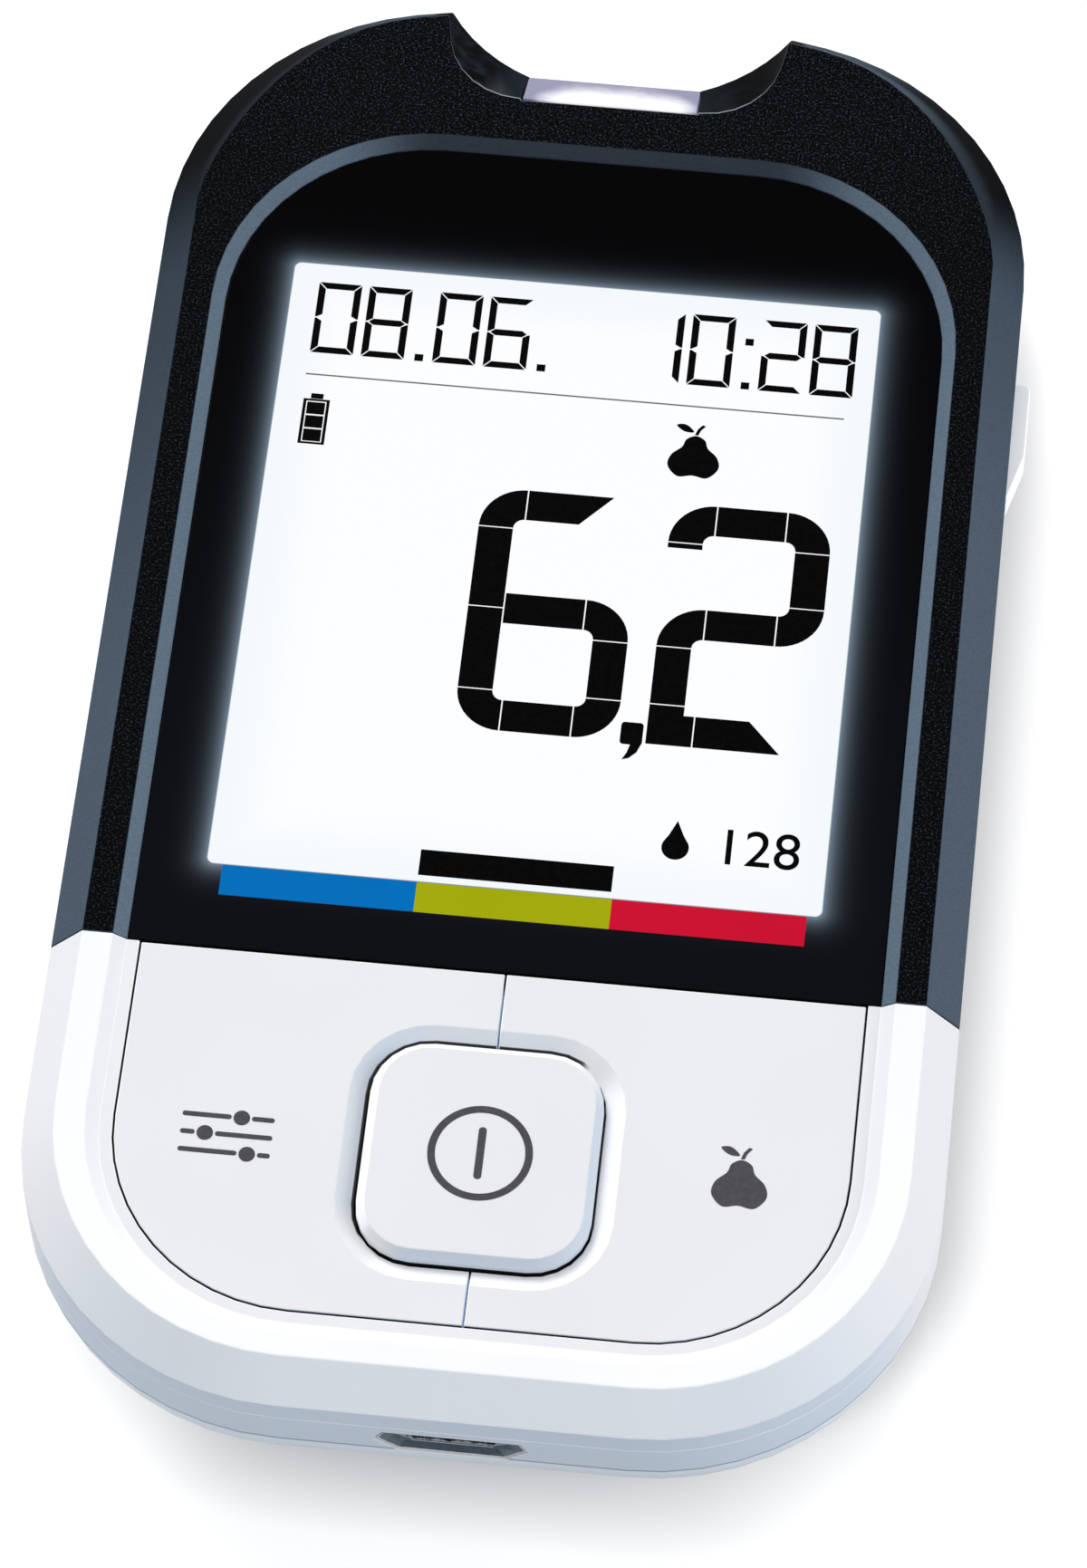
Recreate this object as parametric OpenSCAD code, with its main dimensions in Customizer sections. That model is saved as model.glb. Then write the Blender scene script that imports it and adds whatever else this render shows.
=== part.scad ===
/* [Body] */
// Width of the shoulder between the panel and the side walls
side_margin = 4.85; // [4.6:0.05:5.2]
// Corner radius in plan at the bottom end
bottom_corner_r = 17.5; // [16.5:0.1:18.5]
// Corner radius in plan at the strip end
top_corner_r = 18.2; // [17:0.1:19]
// Radius in plan of the flat arc that closes the strip end
top_end_r = 65; // [50:1:80]
// Wall thickness of the three housing shells
shell_t = 1.6; // [1.4:0.05:1.8]

/* [Front covers] */
// Width in plan of the outer chamfer
chamfer_w = 2.1; // [1.6:0.05:2.3]
// How much wider the chamfer is in the strip end's corners
corner_pull = 0.65; // [0:0.05:0.8]
// Height of the outer chamfer
chamfer_h = 2.65; // [2.2:0.05:2.9]
// Height of the straight skirt below the chamfer
skirt_h = 1.7; // [1.5:0.05:2]
// Depth of the panel below the ridge
panel_recess = 0.63; // [0.4:0.01:0.8]
// Width in plan of the bevel between the ridge and the panel
bevel_w = 0.85; // [0.5:0.05:1.1]
// Distance from the bottom end of the body to the panel
panel_gap = 4.5; // [4.2:0.05:4.8]
// Length of the panel beyond the display's window
forehead = 9.7; // [9:0.1:10.2]
// Corner radius of the panel at the bottom end
panel_low_r = 12.8; // [12:0.1:13.5]
// Corner radius of the panel at the strip end
panel_high_r = 13; // [11:0.1:15]
// Distance from the bottom end to the joint between the two front covers
cover_split = 29.3; // [29:0.05:29.8]

/* [Rear cover] */
// Height of the straight rim below the parting line
rim_h = 2.95; // [2.6:0.05:3.1]
// Height of the small bevel under the rim
rim_bevel_h = 1.4; // [1.1:0.05:1.6]
// Width in plan of the small bevel under the rim
rim_bevel_w = 0.25; // [0.15:0.05:0.35]
// How far the back is drawn in from the body's outline where it meets the table
hull_inset = 10.5; // [9.5:0.1:11]
// Height of the locating lip that enters the front covers
lip_h = 0.9; // [0.5:0.05:1]

/* [Strip notch] */
// Width of the notch between its tips
notch_w = 22.6; // [21.5:0.1:23.5]
// Depth of the notch behind the tips at the shoulder
notch_depth = 4.75; // [4.6:0.05:4.9]
// How much further the notch reaches at ridge level
notch_slope = 3.6; // [3:0.05:3.8]
// Radius of the notch corner at ridge level
notch_corner_r = 4.9; // [4.5:0.1:5.2]
// Width of the lit insert round the strip slot
insert_w = 11.4; // [10.6:0.1:11.6]
// Width of the slot that takes the test strip
strip_slot_w = 6.2; // [5.8:0.1:6.6]
// Height of the slot that takes the test strip
strip_slot_h = 0.9; // [0.7:0.05:1]

/* [Display] */
// Thickness of the display lens
lens_t = 1.5; // [1.3:0.05:1.6]
// Width of the clear window in the lens mask
window_w = 38; // [36:0.1:40]
// Length of the clear window in the lens mask
window_len = 44.7; // [42:0.1:47]
// Distance from the joint of the front covers to the window
window_gap = 5.8; // [5.4:0.1:6.4]
// Border of the liquid crystal glass beside the window
glass_side = 2; // [1.8:0.05:2.2]
// Border of the liquid crystal glass at the window's two ends
glass_end = 1.05; // [0.9:0.05:1.2]
// Width that the panel has beside the liquid crystal glass
panel_side = 2.15; // [2:0.05:2.4]
// Thickness of the liquid crystal glass
glass_t = 1.6; // [1.4:0.05:1.8]
// Thickness of the light guide behind the glass
guide_t = 1.8; // [1.6:0.05:2]
// Height of the light guide above the circuit board
guide_lift = 1.22; // [1:0.02:1.4]

/* [Keys] */
// Width of the margin between the panel's edge and the side keys
key_margin = 0.8; // [0.6:0.05:0.9]
// Running gap round every key
key_gap = 0.12; // [0.08:0.01:0.16]
// Travel of every key
key_travel = 0.5; // [0.3:0.05:0.5]
// Width of the power key
power_w = 14.2; // [13:0.1:14.8]
// Length of the power key
power_len = 14.6; // [13.5:0.1:15]
// Corner radius of the power key
power_r = 3.6; // [3:0.1:4.5]
// How far the power key stands above the side keys
power_rise = 0.55; // [0.3:0.05:0.8]
// Width of the dished moat round the power key
moat_w = 1.3; // [1:0.05:1.5]
// Depth of the dished moat round the power key
moat_depth = 0.6; // [0.45:0.05:0.7]
// Distance from the bottom end of the body to the row of keys
key_row = 16.7; // [16.5:0.05:16.9]
// Thickness of each key's plate
key_plate_t = 1.6; // [1.5:0.05:1.65]

/* [Ejector] */
// Travel of the strip ejector
eject_travel = 5; // [4:0.1:5.1]
// Length of the thumb tab along the side wall
tab_len = 8.8; // [8:0.1:9.2]
// How far the thumb tab stands out of the side wall
tab_out = 1; // [0.8:0.05:1.1]
// Height of the thumb tab
tab_h = 2.2; // [1.9:0.05:2.25]
// Distance from the lower end of the tab to the arm that carries the finger
tab_back = 13.1; // [12.5:0.1:14]
// Length of the connector that the finger enters
connector_len = 6.25; // [6:0.05:7]

/* [Electronics] */
// Thickness of the circuit board
board_t = 1; // [0.8:0.05:1.2]
// Width of the micro socket's flared mouth
usb_w = 9.1; // [8.6:0.05:9.4]
// Height of the micro socket's flared mouth
usb_h = 2.1; // [2:0.05:2.2]
// Depth of the micro socket
usb_depth = 5.6; // [5:0.1:6]

/* [Batteries] */
// Diameter of a battery cell
cell_d = 10.5; // [10:0.1:11]
// Length of a battery cell
cell_len = 44.5; // [43:0.1:46]
// Distance from the bottom end of the body to the battery bay
bay_y = 15; // [14.5:0.1:15.5]
// Thickness of the battery door
door_t = 1.5; // [1.3:0.05:1.7]
// Overlap of the battery door over each side of the bay
door_land = 1.75; // [1.5:0.05:2]
// Slide of the battery door before it lifts away
door_slide = 8; // [6:0.5:8]

/* [Hidden] */
$fn = 48;

// Overshoot of every cut past the face that it opens
cut = 0.5;
// Clearance between housing pieces that are seated on each other
seat = 0.1;

// Heights, stacked from the table: door, cells, bay roof, board, display, lens
bay_roof_t = 0.6;
board_gap = 0.2;
glass_gap = 0.05;
tape_t = 0.15;
mask_t = 0.1;
ledge_t = 0.8;
cell_z = door_t + seat + cell_d / 2;
z_bay = cell_z + cell_d / 2 + seat;
z_under = z_bay + bay_roof_t + board_gap;
z_board = z_under + board_t;
z_guide = z_board + guide_lift;
z_glass = z_guide + guide_t + seat;
z_ledge = z_glass + glass_t + glass_gap + mask_t - tape_t;
z_roof = z_ledge - ledge_t;
z_panel = z_ledge + tape_t + lens_t;
body_h = z_panel + panel_recess;
z_shoulder = body_h - chamfer_h;
z_part = z_shoulder - skirt_h;
z_rim = z_part - rim_h;
z_hull = z_rim - rim_bevel_h;

// Widths, from the window out to the side walls
glass_w = window_w + 2 * glass_side;
panel_w = glass_w + 2 * panel_side;
body_w = panel_w + 2 * side_margin;
notch_floor = insert_w / 2 - seat;

// Lengths, from the bottom end to the tips beside the notch: keys, display, ejector, connector, notch
frame_wall = 0.6;
arm_gap = 0.35;
arm_t = 1.5;
finger_gap = 0.3;
connector_gap = 0.7;
display_low = cover_split + window_gap;
display_high = display_low + window_len;
arm_reach = display_high + glass_end + seat + frame_wall + arm_gap;
connector_reach = arm_reach + arm_t + eject_travel + finger_gap;
floor_reach = connector_reach + connector_len + connector_gap + shell_t;
body_len = floor_reach + notch_depth;

// Places along the length, which runs from -body_len / 2 to body_len / 2
y_low = -body_len / 2;
y_tip = body_len / 2;
y_split = y_low + cover_split;
y_panel_low = y_low + panel_gap;
y_panel_high = y_low + display_high + forehead;
y_window = y_low + (display_low + display_high) / 2;
y_glass_low = y_low + display_low - glass_end;
y_glass_high = y_low + display_high + glass_end;
y_keys = y_low + key_row;
arm_y = y_low + arm_reach;
y_floor = y_low + floor_reach;
y_apex = y_tip + top_end_r - sqrt(pow(top_end_r, 2) - pow(notch_w / 2, 2));

// Arcs are cut into these numbers of chords
corner_steps = 12;
end_steps = 8;
notch_steps = 6;
hull_steps = 5;

function arc(c, r, a0, a1, n) =
    [for (i = [0:n]) let (a = a0 + (a1 - a0) * i / n) c + r * [cos(a), sin(a)]];

function mirrored(pts) = [for (i = [len(pts) - 1:-1:0]) [-pts[i][0], pts[i][1]]];

// Middle height of the strip end's corner arcs
y_high_corner = y_apex - top_end_r
    + sqrt(pow(top_end_r - top_corner_r, 2) - pow(body_w / 2 - top_corner_r, 2));

// Share of the pull along a strip end corner, largest before the middle of the arc
pull_lean = 0.7;
function pull_share(t) = pow(sin(180 * pow(t, pull_lean)), 2);

// Body outline drawn in by inset: straight sides, round bottom corners, and a strip end of three arcs.
// A pull draws the strip end's corners in further
function body_outline(inset, pull = 0) =
    let (
        w = body_w / 2 - inset,
        rb = bottom_corner_r - inset,
        rc = top_corner_r - inset,
        re = top_end_r - inset,
        c_end = [0, y_apex - top_end_r],
        c_high = [w - rc, y_high_corner],
        lean = atan2(c_high[1] - c_end[1], c_high[0]),
        side = concat(
            arc([w - rb, y_low + inset + rb], rb, -90, 0, corner_steps),
            [for (i = [0:corner_steps])
                let (a = lean * i / corner_steps, r = rc - pull * pull_share(i / corner_steps))
                c_high + r * [cos(a), sin(a)]]
        ),
        top = [for (i = [1:end_steps - 1])
            let (a = lean + (180 - 2 * lean) * i / end_steps) c_end + re * [cos(a), sin(a)]]
    ) concat(side, top, mirrored(side));

// Panel outline grown by grow: the display lens and the keys share it
function panel_outline(grow) =
    let (
        w = panel_w / 2 + grow,
        rb = panel_low_r + grow,
        rt = panel_high_r + grow,
        side = concat(
            arc([w - rb, y_panel_low - grow + rb], rb, -90, 0, corner_steps),
            arc([w - rt, y_panel_high + grow - rt], rt, 0, 90, corner_steps)
        )
    ) concat(side, mirrored(side));

// Rounded rectangle about the middle of the power key, grown by grow
function power_outline(grow) =
    let (
        w = power_w / 2 + grow,
        l = power_len / 2 + grow,
        r = power_r + grow,
        side = concat(
            arc([w - r, y_keys - l + r], r, -90, 0, notch_steps),
            arc([w - r, y_keys + l - r], r, 0, 90, notch_steps)
        )
    ) concat(side, mirrored(side));

// How far the notch's cutting outlines run on past their last arc
notch_run = [6, 1];

// Notch outline at the shoulder and below: a straight floor and two flank arcs out past the tips
flank_a0 = 22;
flank_a1 = 58;
flank_r = (notch_w / 2 - notch_floor) / (sin(flank_a1) - sin(flank_a0));
function notch_low(grow) =
    let (
        c = [notch_floor - flank_r * sin(flank_a0), y_floor + flank_r * cos(flank_a0)],
        flank = arc(c, flank_r + grow, flank_a0 - 90, flank_a1 - 90, notch_steps),
        last = flank[notch_steps],
        run = notch_run[0],
        side = concat(
            [[notch_floor, y_floor - grow]],
            flank,
            [last + run * [1, tan(flank_a1)], [last[0] + run, y_tip + notch_w]]
        )
    ) concat(mirrored(side), side);

// Notch outline at ridge level: a straight floor, two tight corners and steep flanks
corner_sweep = 80;
corner_shift = 0.4;
function notch_high(grow) =
    let (
        c = [notch_floor + corner_shift, y_floor - notch_slope + notch_corner_r],
        flank = arc(c, notch_corner_r + grow, -90, corner_sweep - 90, notch_steps),
        last = flank[notch_steps],
        run = notch_run[1],
        side = concat(
            [[notch_floor, y_floor - notch_slope - grow]],
            flank,
            [last + run * [1, tan(corner_sweep)], [last[0] + run, y_tip + notch_w]]
        )
    ) concat(mirrored(side), side);

// The back curves in from the rim to the table: its section's two ends and the bend between them
hull_top = [rim_bevel_w, z_hull];
hull_bend = [hull_inset * 0.5, z_hull * 0.33];
hull_foot = [hull_inset, 0];

// Inset and height of the back at a share t of the way down its section
function hull_at(t) = pow(1 - t, 2) * hull_top + 2 * t * (1 - t) * hull_bend + pow(t, 2) * hull_foot;

// Share of the way along the back's curve where one of its coordinates has a given value
function hull_share(k, value) =
    let (
        p = hull_top[k],
        q = hull_bend[k],
        a = p - 2 * q + hull_foot[k],
        b = 2 * (q - p),
        c = p - value
    ) 2 * c / (-b + (k == 0 ? -1 : 1) * sqrt(b * b - 4 * a * c));

// Inset of the back at a height, and height of the back at an inset
function hull_inset_at(z) = hull_at(hull_share(1, z))[0];
function hull_height_at(inset) = hull_at(hull_share(0, inset))[1];

// Solid between outlines of equal point count stacked in z: rings is a list of [height, points]
module loft(rings) {
    n = len(rings[0][1]);
    m = len(rings);
    polyhedron(
        points = [for (r = rings) for (p = r[1]) [p[0], p[1], r[0]]],
        faces = concat(
            [[for (i = [0:n - 1]) i]],
            [for (k = [0:m - 2]) for (i = [0:n - 1])
                let (j = (i + 1) % n) [k * n + i, (k + 1) * n + i, (k + 1) * n + j]],
            [for (k = [0:m - 2]) for (i = [0:n - 1])
                let (j = (i + 1) % n) [k * n + i, (k + 1) * n + j, k * n + j]],
            [[for (i = [n - 1:-1:0]) (m - 1) * n + i]]
        )
    );
}

// Straight prism of an outline from z0 to z1
module prism(pts, z0, z1) {
    translate([0, 0, z0]) linear_extrude(z1 - z0) polygon(pts);
}

// Box given by its two corners
module block(a, b) {
    translate(a) cube(b - a);
}

// Upright cylinder at [x, y] from z0 to z1
module rod(at, r, z0, z1) {
    translate([at[0], at[1], z0]) cylinder(r = r, h = z1 - z0);
}

// Two copies mirrored about the middle plane
module pair() {
    children();
    mirror([1, 0, 0]) children();
}

// Helical wire about the z axis; the radius runs from r0 to r1
module coil(r0, r1, wire_r, height, turns, steps, sides) {
    n = turns * steps;
    pts = [for (i = [0:n]) for (k = [0:sides - 1])
        let (
            a = 360 * i / steps,
            r = r0 + (r1 - r0) * i / n + wire_r * cos(360 * k / sides),
            z = wire_r + (height - 2 * wire_r) * i / n + wire_r * sin(360 * k / sides)
        ) [r * cos(a), r * sin(a), z]];
    polyhedron(
        points = pts,
        faces = concat(
            [[for (k = [0:sides - 1]) k]],
            [for (i = [0:n - 1]) for (k = [0:sides - 1])
                let (j = (k + 1) % sides) [i * sides + k, (i + 1) * sides + k, (i + 1) * sides + j]],
            [for (i = [0:n - 1]) for (k = [0:sides - 1])
                let (j = (k + 1) % sides) [i * sides + k, (i + 1) * sides + j, i * sides + j]],
            [[for (k = [sides - 1:-1:0]) n * sides + k]]
        )
    );
}

// Screws that hold the rear cover to the front covers
screw_r = 0.95;
screw_head_r = 1.8;
screw_head_t = 1.3;
boss_r = 2.2;
screw_seat = 0.4;
shank_gap = 0.2;
well_r = screw_head_r + 0.3;
well_wall = 0.9;
pilot_gap = 0.05;
low_inset = 5.1;
high_inset = 8.2;
low_screw = [body_w / 2 - bottom_corner_r, y_low + bottom_corner_r]
    + (bottom_corner_r - low_inset) * [cos(-45), sin(-45)];
high_screw = [body_w / 2 - top_corner_r, y_high_corner]
    + (top_corner_r - high_inset) * [cos(48), sin(48)];
// The head's seat lies deep enough for the outer edge of the head to stay inside the slope of the back
low_seat = hull_height_at(low_inset - screw_head_r) + screw_head_t + screw_seat;
high_seat = hull_height_at(high_inset - screw_head_r) + screw_head_t + screw_seat;
z_post = z_under - 0.6;
// Each screw: its place and the height of its head's seat
screws = [for (s = [-1, 1]) for (q = [[low_screw, low_seat], [high_screw, high_seat]])
    [[s * q[0][0], q[0][1]], q[1]]];

// ---- Housing ----

module notch_cut(grow) {
    prism(notch_low(grow), -cut, z_shoulder);
    loft([[z_shoulder, notch_low(grow)], [body_h, notch_high(grow)], [body_h + cut, notch_high(grow)]]);
}

// Hollow of the front covers under the roof
module front_hollow() {
    difference() {
        prism(body_outline(shell_t), z_part - cut, z_roof);
        notch_cut(shell_t);
    }
}

// Outer form shared by the two front covers, with the bevel down to the panel
module front_form() {
    difference() {
        loft([
            [z_part, body_outline(0)],
            [z_shoulder, body_outline(0)],
            [body_h, body_outline(chamfer_w, corner_pull)]
        ]);
        loft([
            [z_panel, panel_outline(0)],
            [body_h, panel_outline(bevel_w)],
            [body_h + cut, panel_outline(bevel_w)]
        ]);
        front_hollow();
    }
}

// Boss for one screw, hanging from the roof through the board
module boss(at, top) {
    rod(at, boss_r, z_post + seat, top);
}

ledge_w = 1.65;
insert_top = y_floor - notch_slope;
insert_floor = z_board + 0.6;
slider_gap = 3;
slider_x = body_w / 2 - shell_t - slider_gap;
tab_gap = 0.15;
tab_low = arm_y - tab_back;
tab_z = z_part - tab_h - tab_gap;
bar_t = 1;
bar_tail = 5.8;
y_bar = tab_low - bar_tail;
spring_reach = 11.2;
spring_post = [slider_x, y_bar - spring_reach];
post_pin_r = 0.6;

module upper_front_cover() {
    color([0.10, 0.11, 0.13]) difference() {
        union() {
            difference() {
                front_form();
                block([-body_w, y_low - cut, 0], [body_w, y_split, body_h + 1]);
                prism(panel_outline(0), z_ledge, z_panel + cut);
                intersection() {
                    prism(panel_outline(-ledge_w), z_roof - cut, z_ledge + cut);
                    block([-body_w, y_split + ledge_w, 0], [body_w, body_len, body_h]);
                }
                // The glass reaches into the corners of the ledge
                glass_block(-seat, z_roof - cut, z_ledge + cut);
                notch_cut(0);
            }
            for (s = [-1, 1]) boss([s * high_screw[0], high_screw[1]], z_roof + seat);
            rod(spring_post, post_pin_r, z_board + 0.3, z_roof + seat);
        }
        for (s = [-1, 1]) rod([s * high_screw[0], high_screw[1]], screw_r + pilot_gap, 0, z_roof - cut);
        insert_profile(insert_w, seat);
    }
}

// The keys hang by flanges under the cover's rim
flange_w = 0.7;
flange_t = 0.55;
flange_gap = 0.15;
key_skirt = 0.77;
skirt_low = z_panel - key_plate_t - key_skirt;
z_flange_top = skirt_low + flange_t;
z_flange_roof = z_flange_top + flange_gap;
// Lower bosses end clear of the pressed keys, and a rib ties each of them to the corner
z_low_boss = skirt_low - key_travel - 0.2;
rib_t = 1.2;
rib_len = 6;
stake_r = 0.6;
stake_shoulder_r = 1;

module lower_front_cover() {
    color([0.90, 0.91, 0.93]) difference() {
        union() {
            difference() {
                front_form();
                block([-body_w, y_split, 0], [body_w, body_len, body_h + 1]);
                prism(panel_outline(-key_margin), z_roof - cut, z_panel + cut);
                prism(panel_outline(flange_w - key_margin + 2 * flange_gap), z_roof - cut, z_flange_roof);
            }
            for (s = [-1, 1]) {
                boss([s * low_screw[0], low_screw[1]], z_low_boss);
                intersection() {
                    translate([s * low_screw[0], low_screw[1], z_part]) rotate([0, 0, s * 45 - 90])
                        block([0, -rib_t / 2, 0], [rib_len, rib_t / 2, z_low_boss - z_part]);
                    prism(body_outline(shell_t / 2), 0, body_h);
                }
                for (y = frame_pins_y) {
                    rod([s * frame_pin_x, y], stake_shoulder_r, z_frame_top + seat / 2, z_roof + seat);
                    rod([s * frame_pin_x, y], stake_r, z_frame - 0.3, z_roof);
                }
            }
        }
        for (s = [-1, 1]) rod([s * low_screw[0], low_screw[1]], screw_r + pilot_gap, 0, z_part - 0.3);
    }
}

// Rings of the back above floor_z, drawn in by inset
function hull_rings(inset, floor_z) = concat(
    [[floor_z, body_outline(hull_inset_at(floor_z) + inset)]],
    [for (i = [hull_steps - 1:-1:0]) let (q = hull_at(i / hull_steps))
        if (q[1] > floor_z + cut) [q[1], body_outline(q[0] + inset)]]
);

module hull_outer() {
    loft(concat(hull_rings(0, 0), [[z_rim, body_outline(0)], [z_part, body_outline(0)]]));
}

module hull_hollow() {
    difference() {
        loft(concat(
            hull_rings(shell_t, shell_t),
            [[z_rim, body_outline(shell_t)], [z_part + cut, body_outline(shell_t)]]
        ));
        notch_cut(shell_t);
    }
}

// Battery bay: room for two cells side by side with a spring at one end of each
cell_gap = 0.5;
cell_x = (cell_d + cell_gap) / 2;
cell_end_gap = 0.1;
bay_hw = cell_x + cell_d / 2 + 0.35;
spring_len = 5;
contact_t = 0.4;
bay_len = cell_len + spring_len + 2 * contact_t + 0.6;
y_bay = y_low + bay_y;
bay_wall = 1.4;
door_w = 2 * (bay_hw + door_land);
door_gap = 0.15;
door_top = y_bay + bay_len + bay_wall;
tongue_w = 0.85;
tongue_t = 0.6;
tongue_len = 5;
tongue_places = [for (share = [0.1, 0.45, 0.8]) y_bay + share * bay_len];
// The door's surround stands round its opening and over its tongues
surround_w = 2.4;
surround_h = door_t + 1.7;
tab_slot_hw = 1.7;

lip_t = 0.6;
lip_root = 1;

module rear_cover() {
    color([0.80, 0.83, 0.87]) difference() {
        union() {
            difference() {
                hull_outer();
                hull_hollow();
                notch_cut(0);
            }
            difference() {
                intersection() {
                    union() {
                        block([-door_w / 2 - surround_w, y_low, 0],
                            [door_w / 2 + surround_w, door_top + shell_t, surround_h]);
                        block([-bay_hw - bay_wall, y_bay - bay_wall, 0],
                            [bay_hw + bay_wall, door_top, z_bay + bay_roof_t]);
                        for (q = screws) rod(q[0], well_r + well_wall, 0, z_post);
                    }
                    hull_outer();
                }
                notch_cut(0);
            }
            // Locating lip inside the front covers, open at the lower bosses and the notch
            difference() {
                union() {
                    prism(body_outline(shell_t - 2 * seat), z_part - lip_root, z_part);
                    prism(body_outline(shell_t + seat), z_part - cut, z_part + lip_h);
                }
                prism(body_outline(shell_t + seat + lip_t), z_part - lip_root - cut, z_part + lip_h + cut);
                notch_cut(shell_t - 2 * seat);
                prism(notch_low(2 * shell_t), z_part, z_part + lip_h + cut);
                for (s = [-1, 1]) rod([s * low_screw[0], low_screw[1]], rib_len, z_part, body_h);
                block([-usb_w / 2, y_low + shell_t, z_board], [usb_w / 2, y_low + 2 * shell_t, z_part]);
            }
        }
        // Room for the cells, the door and its tongues
        block([-bay_hw, y_bay, -cut], [bay_hw, y_bay + bay_len, z_bay]);
        block([-door_w / 2 - door_gap, y_low - cut, -cut],
            [door_w / 2 + door_gap, door_top + door_gap, door_t + seat]);
        pair() for (y = tongue_places) {
            block([0, y - door_slide - seat, door_t - tongue_t - seat],
                [door_w / 2 + tongue_w + door_gap, y + tongue_len + seat, door_t + seat]);
            block([0, y - door_slide - seat, -cut],
                [door_w / 2 + tongue_w + door_gap, y - door_slide + tongue_len + seat, door_t]);
        }
        // Slots in the bay roof for the contacts' solder tabs
        for (at = [[-cell_x, y_bay + bay_len - 1], [cell_x, y_bay + bay_len - 1], [0, y_bay]])
            block([at[0] - tab_slot_hw, at[1], z_bay - cut], [at[0] + tab_slot_hw, at[1] + 1, z_bay + 1]);
        // Screw wells and clearance holes
        for (q = screws) {
            rod(q[0], well_r, -cut, q[1]);
            rod(q[0], screw_r + shank_gap, 0, z_post + cut);
        }
        // Openings in the rim: power socket, strip insert and ejector
        usb_prism(y_low - cut, y_low + shell_t + cut, usb_outline(seat));
        insert_profile(insert_w, seat);
        block([slider_x, tab_low - tab_gap, tab_z - tab_gap],
            [body_w, tab_low + tab_len + eject_travel + tab_gap, z_part + cut]);
    }
}

module battery_door() {
    color([0.78, 0.81, 0.85]) difference() {
        union() {
            intersection() {
                hull_outer();
                block([-door_w / 2, y_low, -cut], [door_w / 2, door_top, door_t]);
            }
            pair() for (y = tongue_places)
                block([0, y, door_t - tongue_t], [door_w / 2 + tongue_w, y + tongue_len, door_t]);
        }
        // Row of thumb grooves across the lower end
        for (i = [0:grip_count - 1])
            translate([0, y_low + hull_inset + grip_start + i * grip_pitch, 0]) rotate([0, 90, 0])
                cylinder(r = grip_r, h = grip_w, center = true);
    }
}
grip_count = 6;
grip_pitch = 1.5;
grip_start = 3;
grip_r = 0.45;
grip_w = 14;

// Screws: a flat head below, a shank up into the boss
module housing_screws() {
    color([0.62, 0.64, 0.66]) for (q = screws) {
        rod(q[0], screw_head_r, q[1] - screw_head_t, q[1]);
        rod(q[0], screw_r, q[1] - cut, z_part - 0.6);
    }
}

// ---- Strip end ----

// Side profile of the lit insert: flush with the notch's slope and floor; grow widens it into its seat
insert_lip = 1.4;
module insert_profile(w, grow) {
    y_back = y_floor - shell_t - 4 * grow;
    translate([-w / 2 - grow, 0, 0]) rotate([90, 0, 90]) linear_extrude(w + 2 * grow)
        polygon([
            [insert_top - grow, body_h + 5 * grow],
            [insert_top, body_h],
            [y_floor, z_shoulder],
            [y_floor, insert_floor - grow],
            [y_back, insert_floor - grow],
            [y_back, z_shoulder - cut + grow],
            [insert_top - grow, body_h - insert_lip]
        ]);
}

// Rectangle about the origin, for the slot's funnel
function mouth(w, h) = [[w / 2, -h / 2], [w / 2, h / 2], [-w / 2, h / 2], [-w / 2, -h / 2]];

// The strip slot's middle height, shared by the insert, the connector and the ejector's finger
strip_z = z_board + 1.75;
funnel_w = 1;
funnel_h = 0.9;
funnel_depth = 0.5;

module strip_insert() {
    color([0.93, 0.91, 0.98]) difference() {
        insert_profile(insert_w, 0);
        block([-strip_slot_w / 2, y_floor - shell_t - cut, strip_z - strip_slot_h / 2],
            [strip_slot_w / 2, y_floor + cut, strip_z + strip_slot_h / 2]);
        translate([0, y_floor, strip_z]) rotate([90, 0, 0]) loft([
            [-seat, mouth(strip_slot_w + funnel_w, strip_slot_h + funnel_h)],
            [0, mouth(strip_slot_w + funnel_w, strip_slot_h + funnel_h)],
            [funnel_depth, mouth(strip_slot_w, strip_slot_h)]
        ]);
    }
}

connector_w = 12.4;
connector_y0 = y_low + connector_reach;
connector_y1 = connector_y0 + connector_len;
connector_head = 1.35;
z_connector = strip_z + connector_head;
finger_w = 2.4;
finger_t = 0.8;
groove_hw = 0.4;

module strip_connector() {
    color([0.12, 0.12, 0.13]) difference() {
        block([-connector_w / 2, connector_y0, z_board], [connector_w / 2, connector_y1, z_connector]);
        block([-strip_slot_w / 2, connector_y0 + 0.8, strip_z - strip_slot_h / 2],
            [strip_slot_w / 2, connector_y1 + cut, strip_z + strip_slot_h / 2]);
        block([-finger_w / 2 - seat, connector_y0 - cut, strip_z - strip_slot_h / 2],
            [finger_w / 2 + seat, connector_y1, strip_z + strip_slot_h / 2]);
        for (x = contact_places)
            block([x - groove_hw, connector_y0 + 1, z_board + 0.3],
                [x + groove_hw, connector_y1 + cut, strip_z]);
    }
}
contact_pitch = 1.4;
contact_places = [for (i = [-1.5:1:1.5]) i * contact_pitch];

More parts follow.
